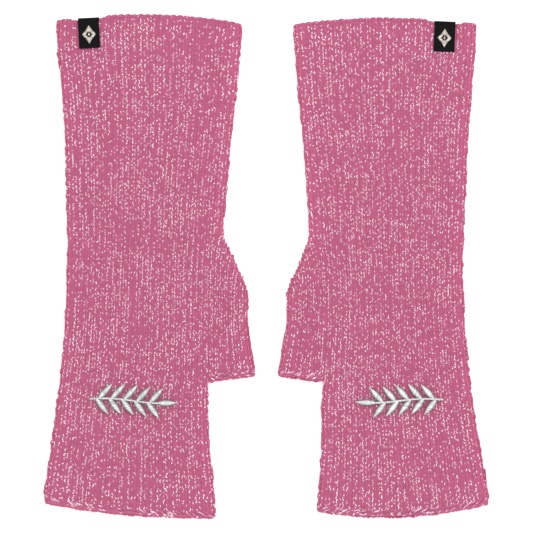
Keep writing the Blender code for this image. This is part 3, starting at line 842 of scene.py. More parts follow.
def make_cloth(name, lay, front, material):
    """The cloth under the stitches, closed round its edges, with a furrow between two ribs."""
    per_rib = 3
    hand_ribs = np.arange(HAND_RIBS * per_rib + 1) / per_rib
    thumb_steps = np.arange(1, THUMB_RIBS * per_rib + 1) / (THUMB_RIBS * per_rib)
    insets = np.array(EDGE_INSETS)
    upper = np.concatenate([insets, np.linspace(5.5, lay.crotch - 5.5, 44), lay.crotch - insets[::-1]])
    lower = np.linspace(lay.crotch + 7.0, lay.total - 5.5, 18)
    lower = np.concatenate([[lay.crotch + CROTCH_ROLL], lower, lay.total - insets[::-1]])
    lengths = np.concatenate([upper, lower])
    hand_columns = len(hand_ribs)
    columns = hand_columns + len(thumb_steps)
    rows = len(lengths)
    length = np.repeat(lengths[:, None], columns, axis=1)
    beside = lay.last_rib(np.minimum(lengths, lay.crotch)) - HAND_RIBS
    rib = np.concatenate(
        [np.repeat(hand_ribs[None], rows, axis=0), HAND_RIBS + beside[:, None] * thumb_steps[None]], axis=1
    )
    last = lay.last_rib(length)
    from_side = np.minimum(rib, last - rib)
    furrow = 0.5 * (1.0 + np.cos(2.0 * np.pi * rib)) * smooth(from_side - 0.2)
    used = np.ones((rows, columns), bool)
    used[len(upper) :, hand_columns:] = False
    safe = np.where(used, length, lay.crotch)
    outside = lay.place(safe, rib, wall_of(front) - STITCH_ROOM - FURROW_DEPTH * furrow, front)
    inside = lay.place(safe, rib, 0.0, front)
    seam = (rib <= 1e-9) | (rib >= last - 1e-9)
    numbers_out = np.arange(rows * columns).reshape(rows, columns)
    numbers_in = numbers_out + rows * columns
    numbers_in = np.where(seam, numbers_out, numbers_in)
    quads = []
    for layer, flip in ((numbers_out, False), (numbers_in, True)):
        quad = grid_quads(layer)[used[1:, 1:] & used[:-1, :-1]]
        quads.append(quad[:, ::-1] if flip else quad)
    turn = len(upper) - 1
    for row, columns_there, flip in (
        (0, slice(None), False),
        (-1, slice(hand_columns), True),
        (turn, slice(hand_columns - 1, None), True),
    ):
        quad = strip(numbers_out[row, columns_there], numbers_in[row, columns_there])
        quads.append(quad[:, ::-1] if flip else quad)
    points = np.concatenate([outside.reshape(-1, 3), inside.reshape(-1, 3)])
    return write_mesh(name, points, np.concatenate(quads), material, smooth_angle=60.0)


def piece(obj, slot_name, *nodes):
    """Hangs a piece on the part's one body and hides the solids that it stands for; slot_name, its finish,
    is not used.
    """
    if nodes:
        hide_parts(*nodes)
    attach(obj, "root")
    return obj


# Stitches and cloth


def knit_courses(lay, settings):
    """The pitch of the courses of stitches in millimetres, and how many a mitten has."""
    pitch = settings.course_pitch / MM
    room = lay.total - COURSES_END - FIRST_COURSE
    count = round(room / pitch)
    return room / count, count


def stitch_legs(lay, settings):
    """Both legs of every stitch: length and rib at the middle of its top, side, last rib; and the pitch."""
    pitch, count = knit_courses(lay, settings)
    lengths = FIRST_COURSE + pitch * np.arange(count)
    columns = np.arange(HAND_RIBS + THUMB_RIBS)
    length, column = np.meshgrid(lengths, columns, indexing="ij")
    last = lay.last_rib(length)
    thumb_ends = lay.crotch - THUMB_COURSES_END
    there = (column + 0.72 <= last) & ((column < HAND_RIBS) | (length < thumb_ends))
    length = length[there]
    column = column[there].astype(float)
    last = last[there]
    middle = np.minimum(column + 0.5, last - 0.35)
    length = np.concatenate([length, length])
    middle = np.concatenate([middle, middle])
    last = np.concatenate([last, last])
    side = np.concatenate([np.full(len(column), -1.0), np.full(len(column), 1.0)])
    beyond = lay.last_rib(lengths)
    closed = (lengths < thumb_ends) | (lengths > lay.crotch + 3.0)
    length = np.concatenate([length, lengths, lengths[closed]])
    middle = np.concatenate([middle, np.zeros(count), beyond[closed]])
    last = np.concatenate([last, beyond, beyond[closed]])
    side = np.concatenate([side, np.ones(count), -np.ones(closed.sum())])
    return length, middle, side, last, pitch


def fleck_density(length, rib, last, seed):
    """Share of flecked stitches: in drifts over the cloth, and few along its plain edges."""
    drift = soft_noise(seed, rib, length, 4.5, 17.0)
    drift = drift + 0.7 * soft_noise(seed + 1, rib, length, 11.0, 9.0)
    drift = drift + 0.5 * soft_noise(seed + 2, rib, length, 2.0, 30.0)
    density = 0.49 + 0.13 * drift
    from_side = np.minimum(rib, last - rib)
    density = density * (0.2 + 0.8 * smooth((from_side - 0.1) / 0.6))
    density = density * (0.10 + 0.90 * smooth((length - 2.2) / 3.0))
    return np.clip(density, 0.02, 0.95)


def make_stitches(name, lay, front, settings, material):
    """The legs of the knit stitches, which meet at the top of each course."""
    rng = np.random.default_rng(lay.mitten.seed + (0 if front else 100))
    length, middle, side, last, pitch = stitch_legs(lay, settings)
    count = len(length)
    shares = np.array(RING_SHARES)
    starts = length + rng.normal(0.0, 0.16, count)
    down = starts[:, None] + pitch * (-0.30 + 1.42 * shares[None])
    spread = 0.04 + 0.33 * shares[None] ** 0.9
    lean = rng.normal(0.0, 0.02, count)[:, None]
    rib = middle[:, None] + side[:, None] * spread + lean
    at_seam = (middle == 0.0) | (middle == last)
    seam_rib = middle[:, None] + side[:, None] * (0.02 + 0.25 * shares[None])
    rib = np.where(at_seam[:, None], seam_rib, rib)
    rib = np.clip(rib, 0.02, last[:, None] - 0.02)
    down = np.clip(down, 0.5, lay.total - 2.0)
    wall = wall_of(front) - settings.stitch_height / MM
    sunk = np.array([0.40, 0.10, 0.0, 0.08, 0.45])[None]
    fall = 0.5 * np.abs(rib - middle[:, None])
    walls = wall - sunk - fall + rng.normal(0.0, 0.035, count)[:, None]
    walls = np.where(at_seam[:, None], wall, walls)
    place, normal, per_rib, _ = lay.axes(down, rib, walls, front)
    pitch_across = np.linalg.norm(per_rib, axis=-1)
    fat = np.array([0.35, 0.88, 1.0, 0.92, 0.40])[None]
    half_width = pitch_across * 0.18 * fat * (1.0 + rng.normal(0.0, 0.06, count)[:, None])
    height = settings.stitch_height / MM * np.array([0.5, 0.92, 1.0, 0.95, 0.5])[None]
    height = height * np.clip(1.0 + rng.normal(0.0, np.where(at_seam, 0.45, 0.06)), 0.25, 1.8)[:, None]
    half_width = np.where(at_seam[:, None], half_width * 1.25, half_width)
    wave = soft_noise(lay.mitten.seed + 29, 8.0 * side, length, 1.0, 6.0)
    bump = np.clip(0.2 + 0.5 * wave + rng.normal(0.0, 0.25, count), 0.0, 1.1)
    place = place + normal * np.where(at_seam, bump, 0.0)[:, None, None]
    points = runs(place, normal, half_width, height)
    density = fleck_density(length, middle, last, lay.mitten.seed * 3 + (0 if front else 7))
    lane = soft_noise(lay.mitten.seed * 5 + 1, middle * 2.0, length, 0.9, 11.0)
    density = density * np.clip(1.0 + 0.8 * lane * side, 0.35, 1.6)
    values = fleck_values(rng, density)
    # Painted light at the side edges: 1 at the seams, fading out over 1.3 ribs in.
    values["paler_edge"] = 1.0 - smooth(np.minimum(middle, last - middle) / 1.3)
    return write_runs(name, points, material, values)


def fleck_values(rng, density):
    """Random flecks for stretches of yarn: many faint ones and a few bright ones."""
    count = len(density)
    values = {"seed": rng.uniform(0.0, 1.0, count)}
    for socket in ("upper_fleck", "lower_fleck"):
        there = rng.uniform(0.0, 1.0, count) < density
        values[socket] = np.where(there, 0.3 + 0.7 * rng.uniform(0.0, 1.0, count), 0.0)
    return values


def make_cast_off(name, lay, front, settings, material):
    """The chain of slanting loops that closes the stitches at the fingers and the thumb."""
    rng = np.random.default_rng(lay.mitten.seed + (40 if front else 50))
    wall = wall_of(front) - STITCH_ROOM
    shares = np.array(RING_SHARES)
    parts = []
    chances = []
    for thumbed in (False, True):
        end = lay.crotch if thumbed else lay.total
        low = HAND_RIBS + 0.1 if thumbed else 0.15
        high = lay.last_rib(np.array(end - 1.0)) - 0.15
        count = int((high - low) / 0.52)
        starts = np.linspace(low, high - 0.6, count)
        for row, loop in enumerate(CAST_OFF_LOOPS):
            near, far, reach, width, tall, flecked = loop
            rib = starts[:, None] + reach * shares[None] + rng.normal(0.0, 0.06, count)[:, None]
            rib = np.clip(rib, low - 0.05, high + 0.1)
            inset = near + (far - near) * shares[None] ** 1.3 + rng.normal(0.0, 0.12, count)[:, None]
            inset = np.maximum(inset, 0.25)
            walls = wall - 0.35 * (row == 0) * (1.0 - shares[None])
            place, normal, _, along = lay.axes(end - inset, rib, walls, front)
            if row == 2:
                wave = soft_noise(lay.mitten.seed + 17, starts, np.zeros_like(starts), 1.6, 1.0)
                push = np.clip(0.6 + 0.9 * wave + rng.normal(0.0, 0.55, count), 0.0, 2.1)
                place = place + along * (push[:, None] * shares[None] ** 0.5)[..., None]
            half_width = width * tapered(0.5, 0.95, rib) * (1.0 + rng.normal(0.0, 0.07, count)[:, None])
            parts.append(runs(place, normal, half_width, tall * tapered(0.45, 0.9, rib)))
            chances.append(np.full(count, flecked))
    values = fleck_values(rng, np.concatenate(chances))
    return write_runs(name, np.concatenate(parts), material, values)


def make_cast_on(name, lay, front, settings, material):
    """The low, plain loops along the cuff's edge, one round the end of each rib."""
    rng = np.random.default_rng(lay.mitten.seed + (60 if front else 70))
    last = float(lay.last_rib(np.array(1.0)))
    count = int(last)
    starts = np.arange(count) + 0.02
    shares = np.array(RING_SHARES)
    parts = []
    for reach, depth, tall in ((0.96, 1.0, 0.8), (0.7, 1.7, 0.75)):
        rib = starts[:, None] + 0.5 * (1.0 - reach) + reach * shares[None]
        rib = np.clip(rib + rng.normal(0.0, 0.05, count)[:, None], 0.05, last - 0.05)
        wave = soft_noise(lay.mitten.seed + 19, starts, np.zeros_like(starts), 1.9, 1.0)
        bulge = (rng.uniform(0.4, 1.3, count) + 0.5 * wave)[:, None] * np.sin(np.pi * shares)[None]
        inset = depth + 0.1 - bulge + rng.normal(0.0, 0.08, count)[:, None]
        place, normal, _, along = lay.axes(np.maximum(inset, 0.1), rib, wall_of(front) - tall, front)
        place = place + along * np.minimum(inset - 0.1, 0.0)[..., None]
        parts.append(runs(place, normal, 0.85 * tapered(0.6, 0.95, rib), tall * tapered(0.4, 0.9, rib)))
    points = np.concatenate(parts)
    return write_runs(name, points, material, fleck_values(rng, np.full(len(points), 0.08)))


def make_loose_fibres(name, lay, front, material):
    """Fine fibres that stand a little out of the yarn, thickest along the sides and the edges."""
    rng = np.random.default_rng(lay.mitten.seed + (80 if front else 90))
    count = 1500 if front else 500
    shares = np.array(RING_SHARES)
    length = rng.uniform(0.5, lay.total - 0.6, count)
    last = lay.last_rib(length)
    at_side = rng.uniform(0.0, 1.0, count) < (0.3 if front else 1.0)
    from_side = rng.uniform(0.02, 0.5, count)
    rib = np.where(rng.uniform(0.0, 1.0, count) < 0.5, from_side, last - from_side)
    rib = np.where(at_side, rib, rng.uniform(0.6, last - 0.6))
    heading = rng.uniform(0.0, 2.0 * np.pi, count)
    reach = rng.uniform(0.8, 2.6, count)
    curl = rng.uniform(-0.9, 0.9, count)
    turn = heading[:, None] + curl[:, None] * shares[None]
    down = length[:, None] + reach[:, None] * shares[None] * np.sin(turn)
    aside = rib[:, None] + 0.26 * reach[:, None] * shares[None] * np.cos(turn)
    down = np.clip(down, 0.3, lay.total - 0.3)
    aside = np.clip(aside, 0.01, last[:, None] - 0.01)
    place, normal, _, _ = lay.axes(down, aside, wall_of(front) - 0.1, front)
    stands = rng.uniform(0.15, 0.75, count)[:, None] * shares[None] ** 0.8
    stands = stands + np.where(at_side, 0.55, 0.0)[:, None]
    centres = place + normal * (stands - 0.15)[..., None]
    thick = 0.05 * np.array([0.8, 1.0, 1.0, 0.8, 0.5])[None] * np.ones_like(aside)
    points = runs(centres, normal, thick, thick)
    return write_runs(name, points, material, fleck_values(rng, np.full(count, 0.6)))


# Labels and sprigs


def label_path(lay, along, settings):
    """Plan places and heights down the folded label's middle line: out, over the edge, in."""
    label = lay.mitten.label
    thick = settings.label_thickness / MM
    down = np.linspace(1.0, 0.0, 15)
    outside = LABEL_OUTSIDE * down[:-1] + LABEL_FOLD * (1.0 - down[:-1])
    inside = np.linspace(LABEL_FOLD, LABEL_INSIDE, 9)
    top = lay.heights(spots_in(label, np.full_like(outside, along), -outside))[1] + CLEARANCE
    bottom = lay.heights(spots_in(label, np.full_like(inside, along), -inside))[0] - CLEARANCE
    floor, crown = lay.heights(spots_in(label, np.array([along]), np.array([-LABEL_FOLD])))
    middle = 0.5 * (floor[0] + crown[0])
    half = 0.5 * (crown[0] - floor[0]) + CLEARANCE + 0.5 * thick
    turns = np.radians(np.linspace(80.0, -80.0, 9))
    bend_y = -0.35 + (0.35 + 0.1 + 0.5 * thick) * np.cos(turns)
    bend_z = middle + half * np.sin(turns)
    y = np.concatenate([-outside, bend_y, -inside])
    z = np.concatenate([top + 0.5 * thick, bend_z, bottom - 0.5 * thick])
    return y, z


def make_label(name, lay, settings, material):
    """A woven ribbon folded round the cuff's edge, with a firmer selvedge down both sides."""
    width = settings.label_width / MM
    columns = np.concatenate([[-0.5, -0.485, -0.45], np.linspace(-0.42, 0.42, 22), [0.45, 0.485, 0.5]])
    thick = settings.label_thickness / MM
    centre = []
    for share in columns:
        y, z = label_path(lay, width * share, settings)
        spots = spots_in(lay.mitten.label, np.full_like(y, width * share), y)
        centre.append(np.concatenate([spots, z[:, None]], axis=-1))
    centre = np.stack(centre)
    down = np.gradient(centre, axis=1)
    across = np.gradient(centre, axis=0)
    normal = unit(np.cross(across, down))
    if normal[len(columns) // 2, 0, 2] < 0.0:
        normal = -normal
    edge = np.array([0.55, 1.12, 1.06] + [0.96] * (len(columns) - 6) + [1.06, 1.12, 0.55])
    half = 0.5 * thick * edge[:, None, None]
    rows = centre.shape[1]
    outer = centre + normal * half
    inner = centre - normal * half
    points = np.concatenate([outer.reshape(-1, 3), inner.reshape(-1, 3)])
    count = len(columns)
    out_no = np.arange(count * rows).reshape(count, rows)
    in_no = out_no + count * rows
    quads = np.concatenate(
        [
            grid_quads(out_no).reshape(-1, 4),
            grid_quads(in_no)[..., [0, 3, 2, 1]].reshape(-1, 4),
            strip(out_no[0], in_no[0]),
            strip(in_no[-1], out_no[-1]),
            strip(in_no[:, 0], out_no[:, 0]),
            strip(out_no[:, -1], in_no[:, -1]),
        ]
    )
    run = running_length(centre[count // 2])
    u = np.repeat((columns[:, None] + 0.5) * width, rows, axis=1)
    v = np.repeat(run[None], count, axis=0)
    flat = np.stack([u, v], -1).reshape(-1, 2)
    flat = np.concatenate([flat, flat + np.array([width + 2.0, 0.0])])
    weave = flat[quads.ravel()] * 0.1
    obj = write_mesh(name, points, quads, material, uvs={"Weave": weave}, smooth_angle=50.0)
    fix_normals(obj)
    return obj


def fix_normals(obj):
    shape = bmesh.new()
    shape.from_mesh(obj.data)
    bmesh.ops.recalc_face_normals(shape, faces=shape.faces)
    shape.to_mesh(obj.data)
    shape.free()


def make_label_motif(name, lay, settings, material):
    """A plain woven lozenge in cream thread on the label's outside."""
    shares = np.array(RING_SHARES)
    strokes = []
    for number in range(LOZENGE_LINES):
        y = LOZENGE_HALF_HEIGHT * (2.0 * (number + 0.5) / LOZENGE_LINES - 1.0)
        reach, hole, core = (
            LOZENGE_HALF_WIDTH * share * max(0.0, 1.0 - abs(y) / (LOZENGE_HALF_HEIGHT * share))
            for share in (1.0, LOZENGE_HOLE, LOZENGE_CORE)
        )
        if hole > 0.35:
            strokes.append((-reach, -hole, y))
            strokes.append((hole, reach, y))
            if core > 0.2:
                strokes.append((-core, core, y))
        else:
            strokes.append((-reach, reach, y))
    strokes = np.array(strokes)
    x = strokes[:, :1] + (strokes[:, 1:2] - strokes[:, :1]) * shares[None]
    spots = spots_in(lay.mitten.label, x, np.broadcast_to(strokes[:, 2:3] - LOZENGE_DOWN, x.shape))
    top = lay.heights(spots)[1] + CLEARANCE + settings.label_thickness / MM
    centre = np.concatenate([spots, (top - 0.04)[..., None]], axis=-1)
    normal = np.zeros_like(centre)
    normal[..., 2] = 1.0
    fat = tapered(0.6, 0.95, x)
    points = runs(centre, normal, 0.40 * fat, 0.30 * fat)
    rng = np.random.default_rng(lay.mitten.seed + 5)
    return write_runs(name, points, material, {"seed": rng.uniform(0.0, 1.0, len(strokes))})


def stem_line(along, length):
    """Points of the gently waving stem, from its root at the sprig's end."""
    wave = STEM_WAVE * np.sin(2.0 * np.pi * along / length)
    return np.stack([along - 0.5 * length, wave], axis=-1)


def sprig_bars(settings):
    """Middle line, half widths, heights, lift and thread slant of the stem and each leaf."""
    length = settings.sprig_length / MM
    leaf = settings.leaf_length / MM
    share = np.linspace(0.0, 1.0, 49)
    stem = stem_line((length - leaf) * share, length)
    ends = np.clip(np.minimum(share, 1.0 - share) / 0.012, 0.5, 1.0)
    bars = [(stem, STEM_HALF_WIDTH * ends, STEM_HEIGHT * ends, 0.0, STEM_SLANT)]
    tip = stem_line(np.array(length - leaf - 0.6), length)
    plans = [(tip, unit(stem_line(np.array(length), length) - tip), 0.15)]
    for pair in range(LEAF_PAIRS):
        for side in (1, -1):
            root = stem_line(np.array(FIRST_LEAF + LEAF_STEP * pair - LEAF_STAGGER * (side < 0)), length)
            turn = math.radians(LEAF_ANGLE) * side
            plans.append((root, np.array([math.cos(turn), math.sin(turn)]), 0.05 if side > 0 else 0.1))
    share = np.linspace(0.0, 1.0, 25)
    swell = np.sin(np.pi * (0.08 + 0.89 * share) ** 0.9)
    half_width = LEAF_HALF_WIDTH * np.maximum(swell, 0.12)
    height = LEAF_HEIGHT * np.maximum(swell, 0.05) ** 0.5
    for root, direction, raised in plans:
        bars.append((root + direction * (leaf * share)[:, None], half_width, height, raised, LEAF_SLANT))
    return bars


def make_sprig_padding(name, lay, settings, material):
    """The padding under the satin stitches, just inside their form."""
    frame_of = lay.mitten.sprig
    all_points = []
    all_faces = []
    start = 0
    angles = np.radians(np.linspace(-90.0, 90.0, 9))
    for middle, half_width, height, raised, _ in sprig_bars(settings):
        ahead = unit(np.gradient(middle, axis=0))
        sideways = np.stack([-ahead[:, 1], ahead[:, 0]], axis=-1)
        across = np.sin(angles)[None, :, None] * (half_width * 0.9)[:, None, None]
        at = middle[:, None] + sideways[:, None] * across
        spots = spots_in(frame_of, at[..., 0] * frame_of.grows, at[..., 1])
        foot = lay.heights(spots)[1] + CLEARANCE + raised
        z = foot + np.cos(angles)[None] * (height * 0.84)[:, None]
        ring = np.concatenate([spots, z[..., None]], axis=-1)
        rows, count = z.shape
        numbers = start + np.arange(rows * count).reshape(rows, count)
        all_points.append(ring.reshape(-1, 3))
        all_faces.append(strip(numbers, np.roll(numbers, -1, axis=1)).reshape(-1, 4))
        start += rows * count
    obj = write_mesh(name, np.concatenate(all_points), np.concatenate(all_faces), material)
    fix_normals(obj)
    return obj


def make_sprig_threads(name, lay, settings, material):
    """Satin stitches side by side over the padding, each one thread from edge to edge."""
    frame_of = lay.mitten.sprig
    rng = np.random.default_rng(lay.mitten.seed + 9)
    pitch = settings.thread_pitch / MM
    across = np.sin(np.radians(np.array([-90.0, -52.0, 0.0, 52.0, 90.0])))
    up = np.sqrt(np.maximum(1.0 - across**2, 0.0))[None]
    groups = []
    for middle, half_width, height, raised, slant in sprig_bars(settings):
        run = running_length(middle)
        count = max(int(run[-1] / pitch), 3)
        at = np.linspace(0.15, run[-1] - 0.15, count) + rng.normal(0.0, 0.03, count)
        lean = 1.0 / math.tan(math.radians(slant))
        here = at[:, None] + across[None] * lean * np.interp(at, run, half_width)[:, None]
        here = np.clip(here, 0.0, run[-1])
        x = np.interp(here, run, middle[:, 0])
        y = np.interp(here, run, middle[:, 1])
        ahead = unit(np.gradient(middle, axis=0))
        ax = np.interp(here, run, ahead[:, 0])
        ay = np.interp(here, run, ahead[:, 1])
        wide = np.interp(here, run, half_width) * (1.0 + rng.normal(0.0, 0.03, count)[:, None])
        x = x - ay * wide * across[None]
        y = y + ax * wide * across[None]
        spots = spots_in(frame_of, x * frame_of.grows, y)
        foot = lay.heights(spots)[1] + CLEARANCE + raised
        z = foot + up * np.interp(here, run, height) * 0.9
        centre = np.concatenate([spots, z[..., None]], axis=-1)
        out = np.stack([-ay * across[None], ax * across[None]], axis=-1)
        out = spots_in(frame_of, out[..., 0] * frame_of.grows, out[..., 1])
        out = out - spots_in(frame_of, np.zeros_like(x), np.zeros_like(x))
        upward = np.broadcast_to(np.maximum(up, 0.15), z.shape)[..., None]
        normal = unit(np.concatenate([out, upward], axis=-1))
        fat = tapered(0.75, 1.0, x)
        groups.append(runs(centre, normal, 0.56 * pitch * fat, 0.16 * fat))
    points = np.concatenate(groups)
    return write_runs(name, points, material, {"seed": rng.uniform(0.0, 1.0, len(points))})


# Finishes


def cloth_material(settings):
    """The knit seen between the stitches: pink with the purl bumps that lie back there, mixed towards the
    furrow colour, a painted shade of the hollows between the ribs.
    """
    name = "pink knit between the ribs"
    if name in bpy.data.materials:
        return bpy.data.materials[name]
    material, tree, shader = new_material(name, 0.9, sheen=0.06)
    place = object_place(tree)
    purl = noise_node(tree, place, 700.0, 2.0, 0.6)
    patches = noise_node(tree, place, 60.0)
    tone = math_node(tree, "MULTIPLY_ADD", purl, 0.5, math_node(tree, "MULTIPLY_ADD", patches, 0.2, 0.5))
    # Painted shade: the purl grain and patches mix the darker furrow colour into the pink.
    colour = mix_colour(tree, tone, tint(settings.furrow_shade_colour), tint(settings.yarn_colour, 1.04))
    tree.links.new(colour, shader.inputs["Base Color"])
    add_bump(tree, shader, purl, 0.0004, 0.5)
    return material


def label_material(settings):
    """Fine black woven ribbon."""
    name = "black woven ribbon"
    if name in bpy.data.materials:
        return bpy.data.materials[name]
    material, tree, shader = new_material(name, 0.7)
    shader.inputs["Specular IOR Level"].default_value = 0.06
    threads = place_group(
        tree,
        thread_group(),
        {
            "Place": uv_map(tree, "Weave"),
            "Threads Across": 19.0,
            "Threads Along": 26.0,
            "Unevenness": 0.5,
        },
    )
    # Painted highlight and shade of the weave: the black is made lighter on the threads' crowns and darker
    # in their dips, with a random unevenness of tone.
    share = map_range(tree, threads.outputs["Shade"], 0.8, 1.25, kind="LINEAR")
    colour = mix_colour(tree, share, tint(settings.label_colour, 0.7), tint(settings.label_colour, 1.7))
    tree.links.new(colour, shader.inputs["Base Color"])
    add_bump(tree, shader, threads.outputs["Height"], 0.00012, 0.8)
    return material


def thread_material(name, colour, roughness, metallic, twist, end_shade):
    """Lustrous thread with the fine twist of its plies, painted darker towards its ends: a painted shade
    where they dive into the cloth.
    """
    if name in bpy.data.materials:
        return bpy.data.materials[name]
    material, tree, shader = new_material(name, roughness, sheen=0.1, metallic=metallic)
    place = uv_map(tree, "Yarn")
    plies = place_group(
        tree,
        thread_group(),
        {"Place": place, "Threads Across": 0.6, "Threads Along": twist, "Unevenness": 0.6},
    )
    tone = math_node(tree, "MULTIPLY", plies.outputs["Shade"], 0.75)
    tone = math_node(tree, "MULTIPLY_ADD", attribute(tree, "seed"), 0.5, tone)
    along = separate(tree, place)[1]
    from_middle = math_node(tree, "ABSOLUTE", math_node(tree, "SUBTRACT", along, 0.5))
    # Painted shade: the tone falls from full in the middle to end_shade at both ends, so the middle reads
    # as a lighter band.
    tone = math_node(tree, "MULTIPLY", tone, map_range(tree, from_middle, 0.04, 0.38, 1.0, end_shade))
    tree.links.new(scaled(tree, colour, tone), shader.inputs["Base Color"])
    add_bump(tree, shader, plies.outputs["Height"], 0.00004, 0.6)
    return material


def padding_material(settings):
    """The underlay that shows between satin stitches, in a darker grey of the thread: painted shade in the
    gaps between them.
    """
    name = "grey underlay stitches"
    if name in bpy.data.materials:
        return bpy.data.materials[name]
    material, tree, shader = new_material(name, 0.6)
    grain = noise_node(tree, object_place(tree), 1800.0, 2.0)
    # Painted shade: 35 to 60% of the thread's grey.
    colour = mix_colour(tree, grain, tint(settings.thread_colour, 0.35), tint(settings.thread_colour, 0.6))
    tree.links.new(colour, shader.inputs["Base Color"])
    add_bump(tree, shader, grain, 0.0001, 0.6)
    return material


def floor_material(settings):
    name = "pale studio floor"
    if name in bpy.data.materials:
        return bpy.data.materials[name]
    material, tree, shader = new_material(name, 0.9)
    paper = noise_node(tree, object_place(tree), 30.0, 3.0)
    colour = mix_colour(tree, paper, tint(settings.floor_colour, 0.995), tint(settings.floor_colour))
    tree.links.new(colour, shader.inputs["Base Color"])
    shader.inputs["Emission Color"].default_value = (1.0, 1.0, 1.0, 1.0)
    shader.inputs["Emission Strength"].default_value = settings.floor_glow
    return material


# Settings, operators and panel


def colour_setting(name, description, default):
    return bpy.props.FloatVectorProperty(
        name=name, description=description, subtype="COLOR", size=3, min=0.0, max=1.0, default=default
    )


def length_setting(name, description, default, low, high):
    return bpy.props.FloatProperty(
        name=name, description=description, unit="LENGTH", min=low, max=high, precision=5, default=default
    )


def share_setting(name, description, default, low=0.0, high=1.0):
    return bpy.props.FloatProperty(
        name=name, description=description, subtype="FACTOR", min=low, max=high, default=default
    )


class MittenKnitSettings(bpy.types.PropertyGroup):
    yarn_colour: colour_setting("Yarn", "Pink of the knitting yarn", (0.512, 0.127, 0.238))
    # The furrow colour is a painted shade: a darker pink that stands in for the shade on the yarn's sides
    # and in the hollows between the ribs.
    furrow_shade_colour: colour_setting(
        "Furrow", "Deeper pink of the yarn's sides and of the knit between the ribs", (0.482, 0.086, 0.187)
    )
    fleck_colour: colour_setting("Fleck", "White of the short flecks spun into the yarn", (1.0, 0.87, 0.96))
    fleck_width: share_setting(
        "Fleck width", "Half the width of a fleck, as a share of the yarn's width", 0.195, 0.01, 0.5
    )
    fleck_length: share_setting(
        "Fleck length", "Half the length of a fleck, as a share of a stitch leg's length", 0.155, 0.01, 0.5
    )
    shade_variation: share_setting(
        "Shade variation", "How far one stitch is lighter or darker than the next", 0.14
    )
    course_pitch: length_setting(
        "Course pitch", "Distance between two courses of stitches, down the hand", 0.0028, 0.001, 0.01
    )
    stitch_height: length_setting(
        "Stitch height", "How far a stitch stands out of the cloth", 0.0007, 0.0001, 0.002
    )


class MittenTrimSettings(bpy.types.PropertyGroup):
    label_colour: colour_setting("Label", "Black of the woven label", (0.006, 0.006, 0.0066))
    motif_colour: colour_setting("Motif", "Cream thread of the label's plain lozenge", (0.68, 0.62, 0.54))
    thread_colour: colour_setting("Sprig thread", "Silver grey of the satin stitches", (0.74, 0.76, 0.75))
    label_width: length_setting("Label width", "Width of the woven ribbon", 0.0137, 0.005, 0.03)
    label_thickness: length_setting(
        "Label thickness", "Thickness of the woven ribbon", 0.0005, 0.0002, 0.001
    )
    sprig_length: length_setting("Sprig length", "Length of the embroidered sprig", 0.0576, 0.03, 0.09)
    leaf_length: length_setting("Leaf length", "Length of each embroidered leaf", 0.0126, 0.005, 0.02)
    thread_pitch: length_setting(
        "Thread pitch", "Distance between two satin stitches", 0.00046, 0.0002, 0.001
    )


class MittenStageSettings(bpy.types.PropertyGroup):
    floor_colour: colour_setting("Floor", "Colour of the pale floor", (0.96, 0.96, 0.96))
    floor_glow: share_setting(
        "Floor glow", "Light that the floor gives, as a light table does", 0.35, 0.0, 2.0
    )
    sky_strength: share_setting("Soft light", "Strength of the even light from all round", 0.95, 0.0, 5.0)
    lamp_power: bpy.props.FloatProperty(
        name="Studio lamp",
        description="Power of the large soft lamp",
        unit="POWER",
        min=0.0,
        max=200.0,
        default=11.5,
    )
    camera_height: length_setting("Camera height", "Height of the camera above the floor", 1.6, 0.5, 5.0)
    frame_width: length_setting(
        "Width in view", "Width that the photograph shows at the mittens", 0.34645, 0.1, 1.0
    )


def flat_cut(lay):
    """Width and length, and area, in metres of one panel laid flat."""
    lengths = np.linspace(0.5, lay.total - 0.5, 200)
    last = lay.last_rib(lengths)
    start = lay.place(lengths, 0.0, 0.0, True)[:, :2]
    end = lay.place(lengths, last, 0.0, True)[:, :2]
    across = np.linalg.norm(end - start, axis=-1) + 2.0 * ROLL_EXTRA
    area = float(np.sum(0.5 * (across[1:] + across[:-1]) * np.diff(lengths)))
    return (float(across.max()) * MM, lay.total * MM), area * MM * MM


def make_panel(mitten, front, settings):
    """The cloth, stitches and edges of one panel. Returns its cloth, its other pieces, and its flat size
    and area.
    """
    lay = LAYS[mitten.name]
    side = "front" if front else "back"
    node = f"{mitten.name}_{side}_panel"
    yarn = yarn_material(settings)
    cast_off_yarn = yarn_material(settings, "pink marled yarn in cast-off loops", 0.36)
    cloth = make_cloth(f"{mitten.name}_{side}_cloth", lay, front, cloth_material(settings))
    parts = [
        make_stitches(f"{mitten.name}_{side}_stitches", lay, front, settings, yarn),
        make_cast_off(f"{mitten.name}_{side}_cast_off_edges", lay, front, settings, cast_off_yarn),
        make_cast_on(f"{mitten.name}_{side}_cuff_edge", lay, front, settings, yarn),
        make_loose_fibres(f"{mitten.name}_{side}_loose_fibres", lay, front, yarn),
    ]
    for part in [cloth] + parts:
        piece(part, "pink_knit", node)
    return cloth, parts, *flat_cut(lay)


class MITTENS_OT_back_panels(bpy.types.Operator):
    """Knit the palm sides, which lie on the floor"""

    bl_idname = "mittens.back_panels"
    bl_label = "Knit Back Panels"

    def execute(self, context):
        for mitten in MITTENS:
            cloth, parts, flat, area = make_panel(mitten, False, context.scene.mitten_knit)
        return {"FINISHED"}


class MITTENS_OT_front_panels(bpy.types.Operator):
    """Knit the backs of the hands, which show"""

    bl_idname = "mittens.front_panels"
    bl_label = "Knit Front Panels"

    def execute(self, context):
        for mitten in MITTENS:
            cloth, parts, flat, area = make_panel(mitten, True, context.scene.mitten_knit)
        return {"FINISHED"}


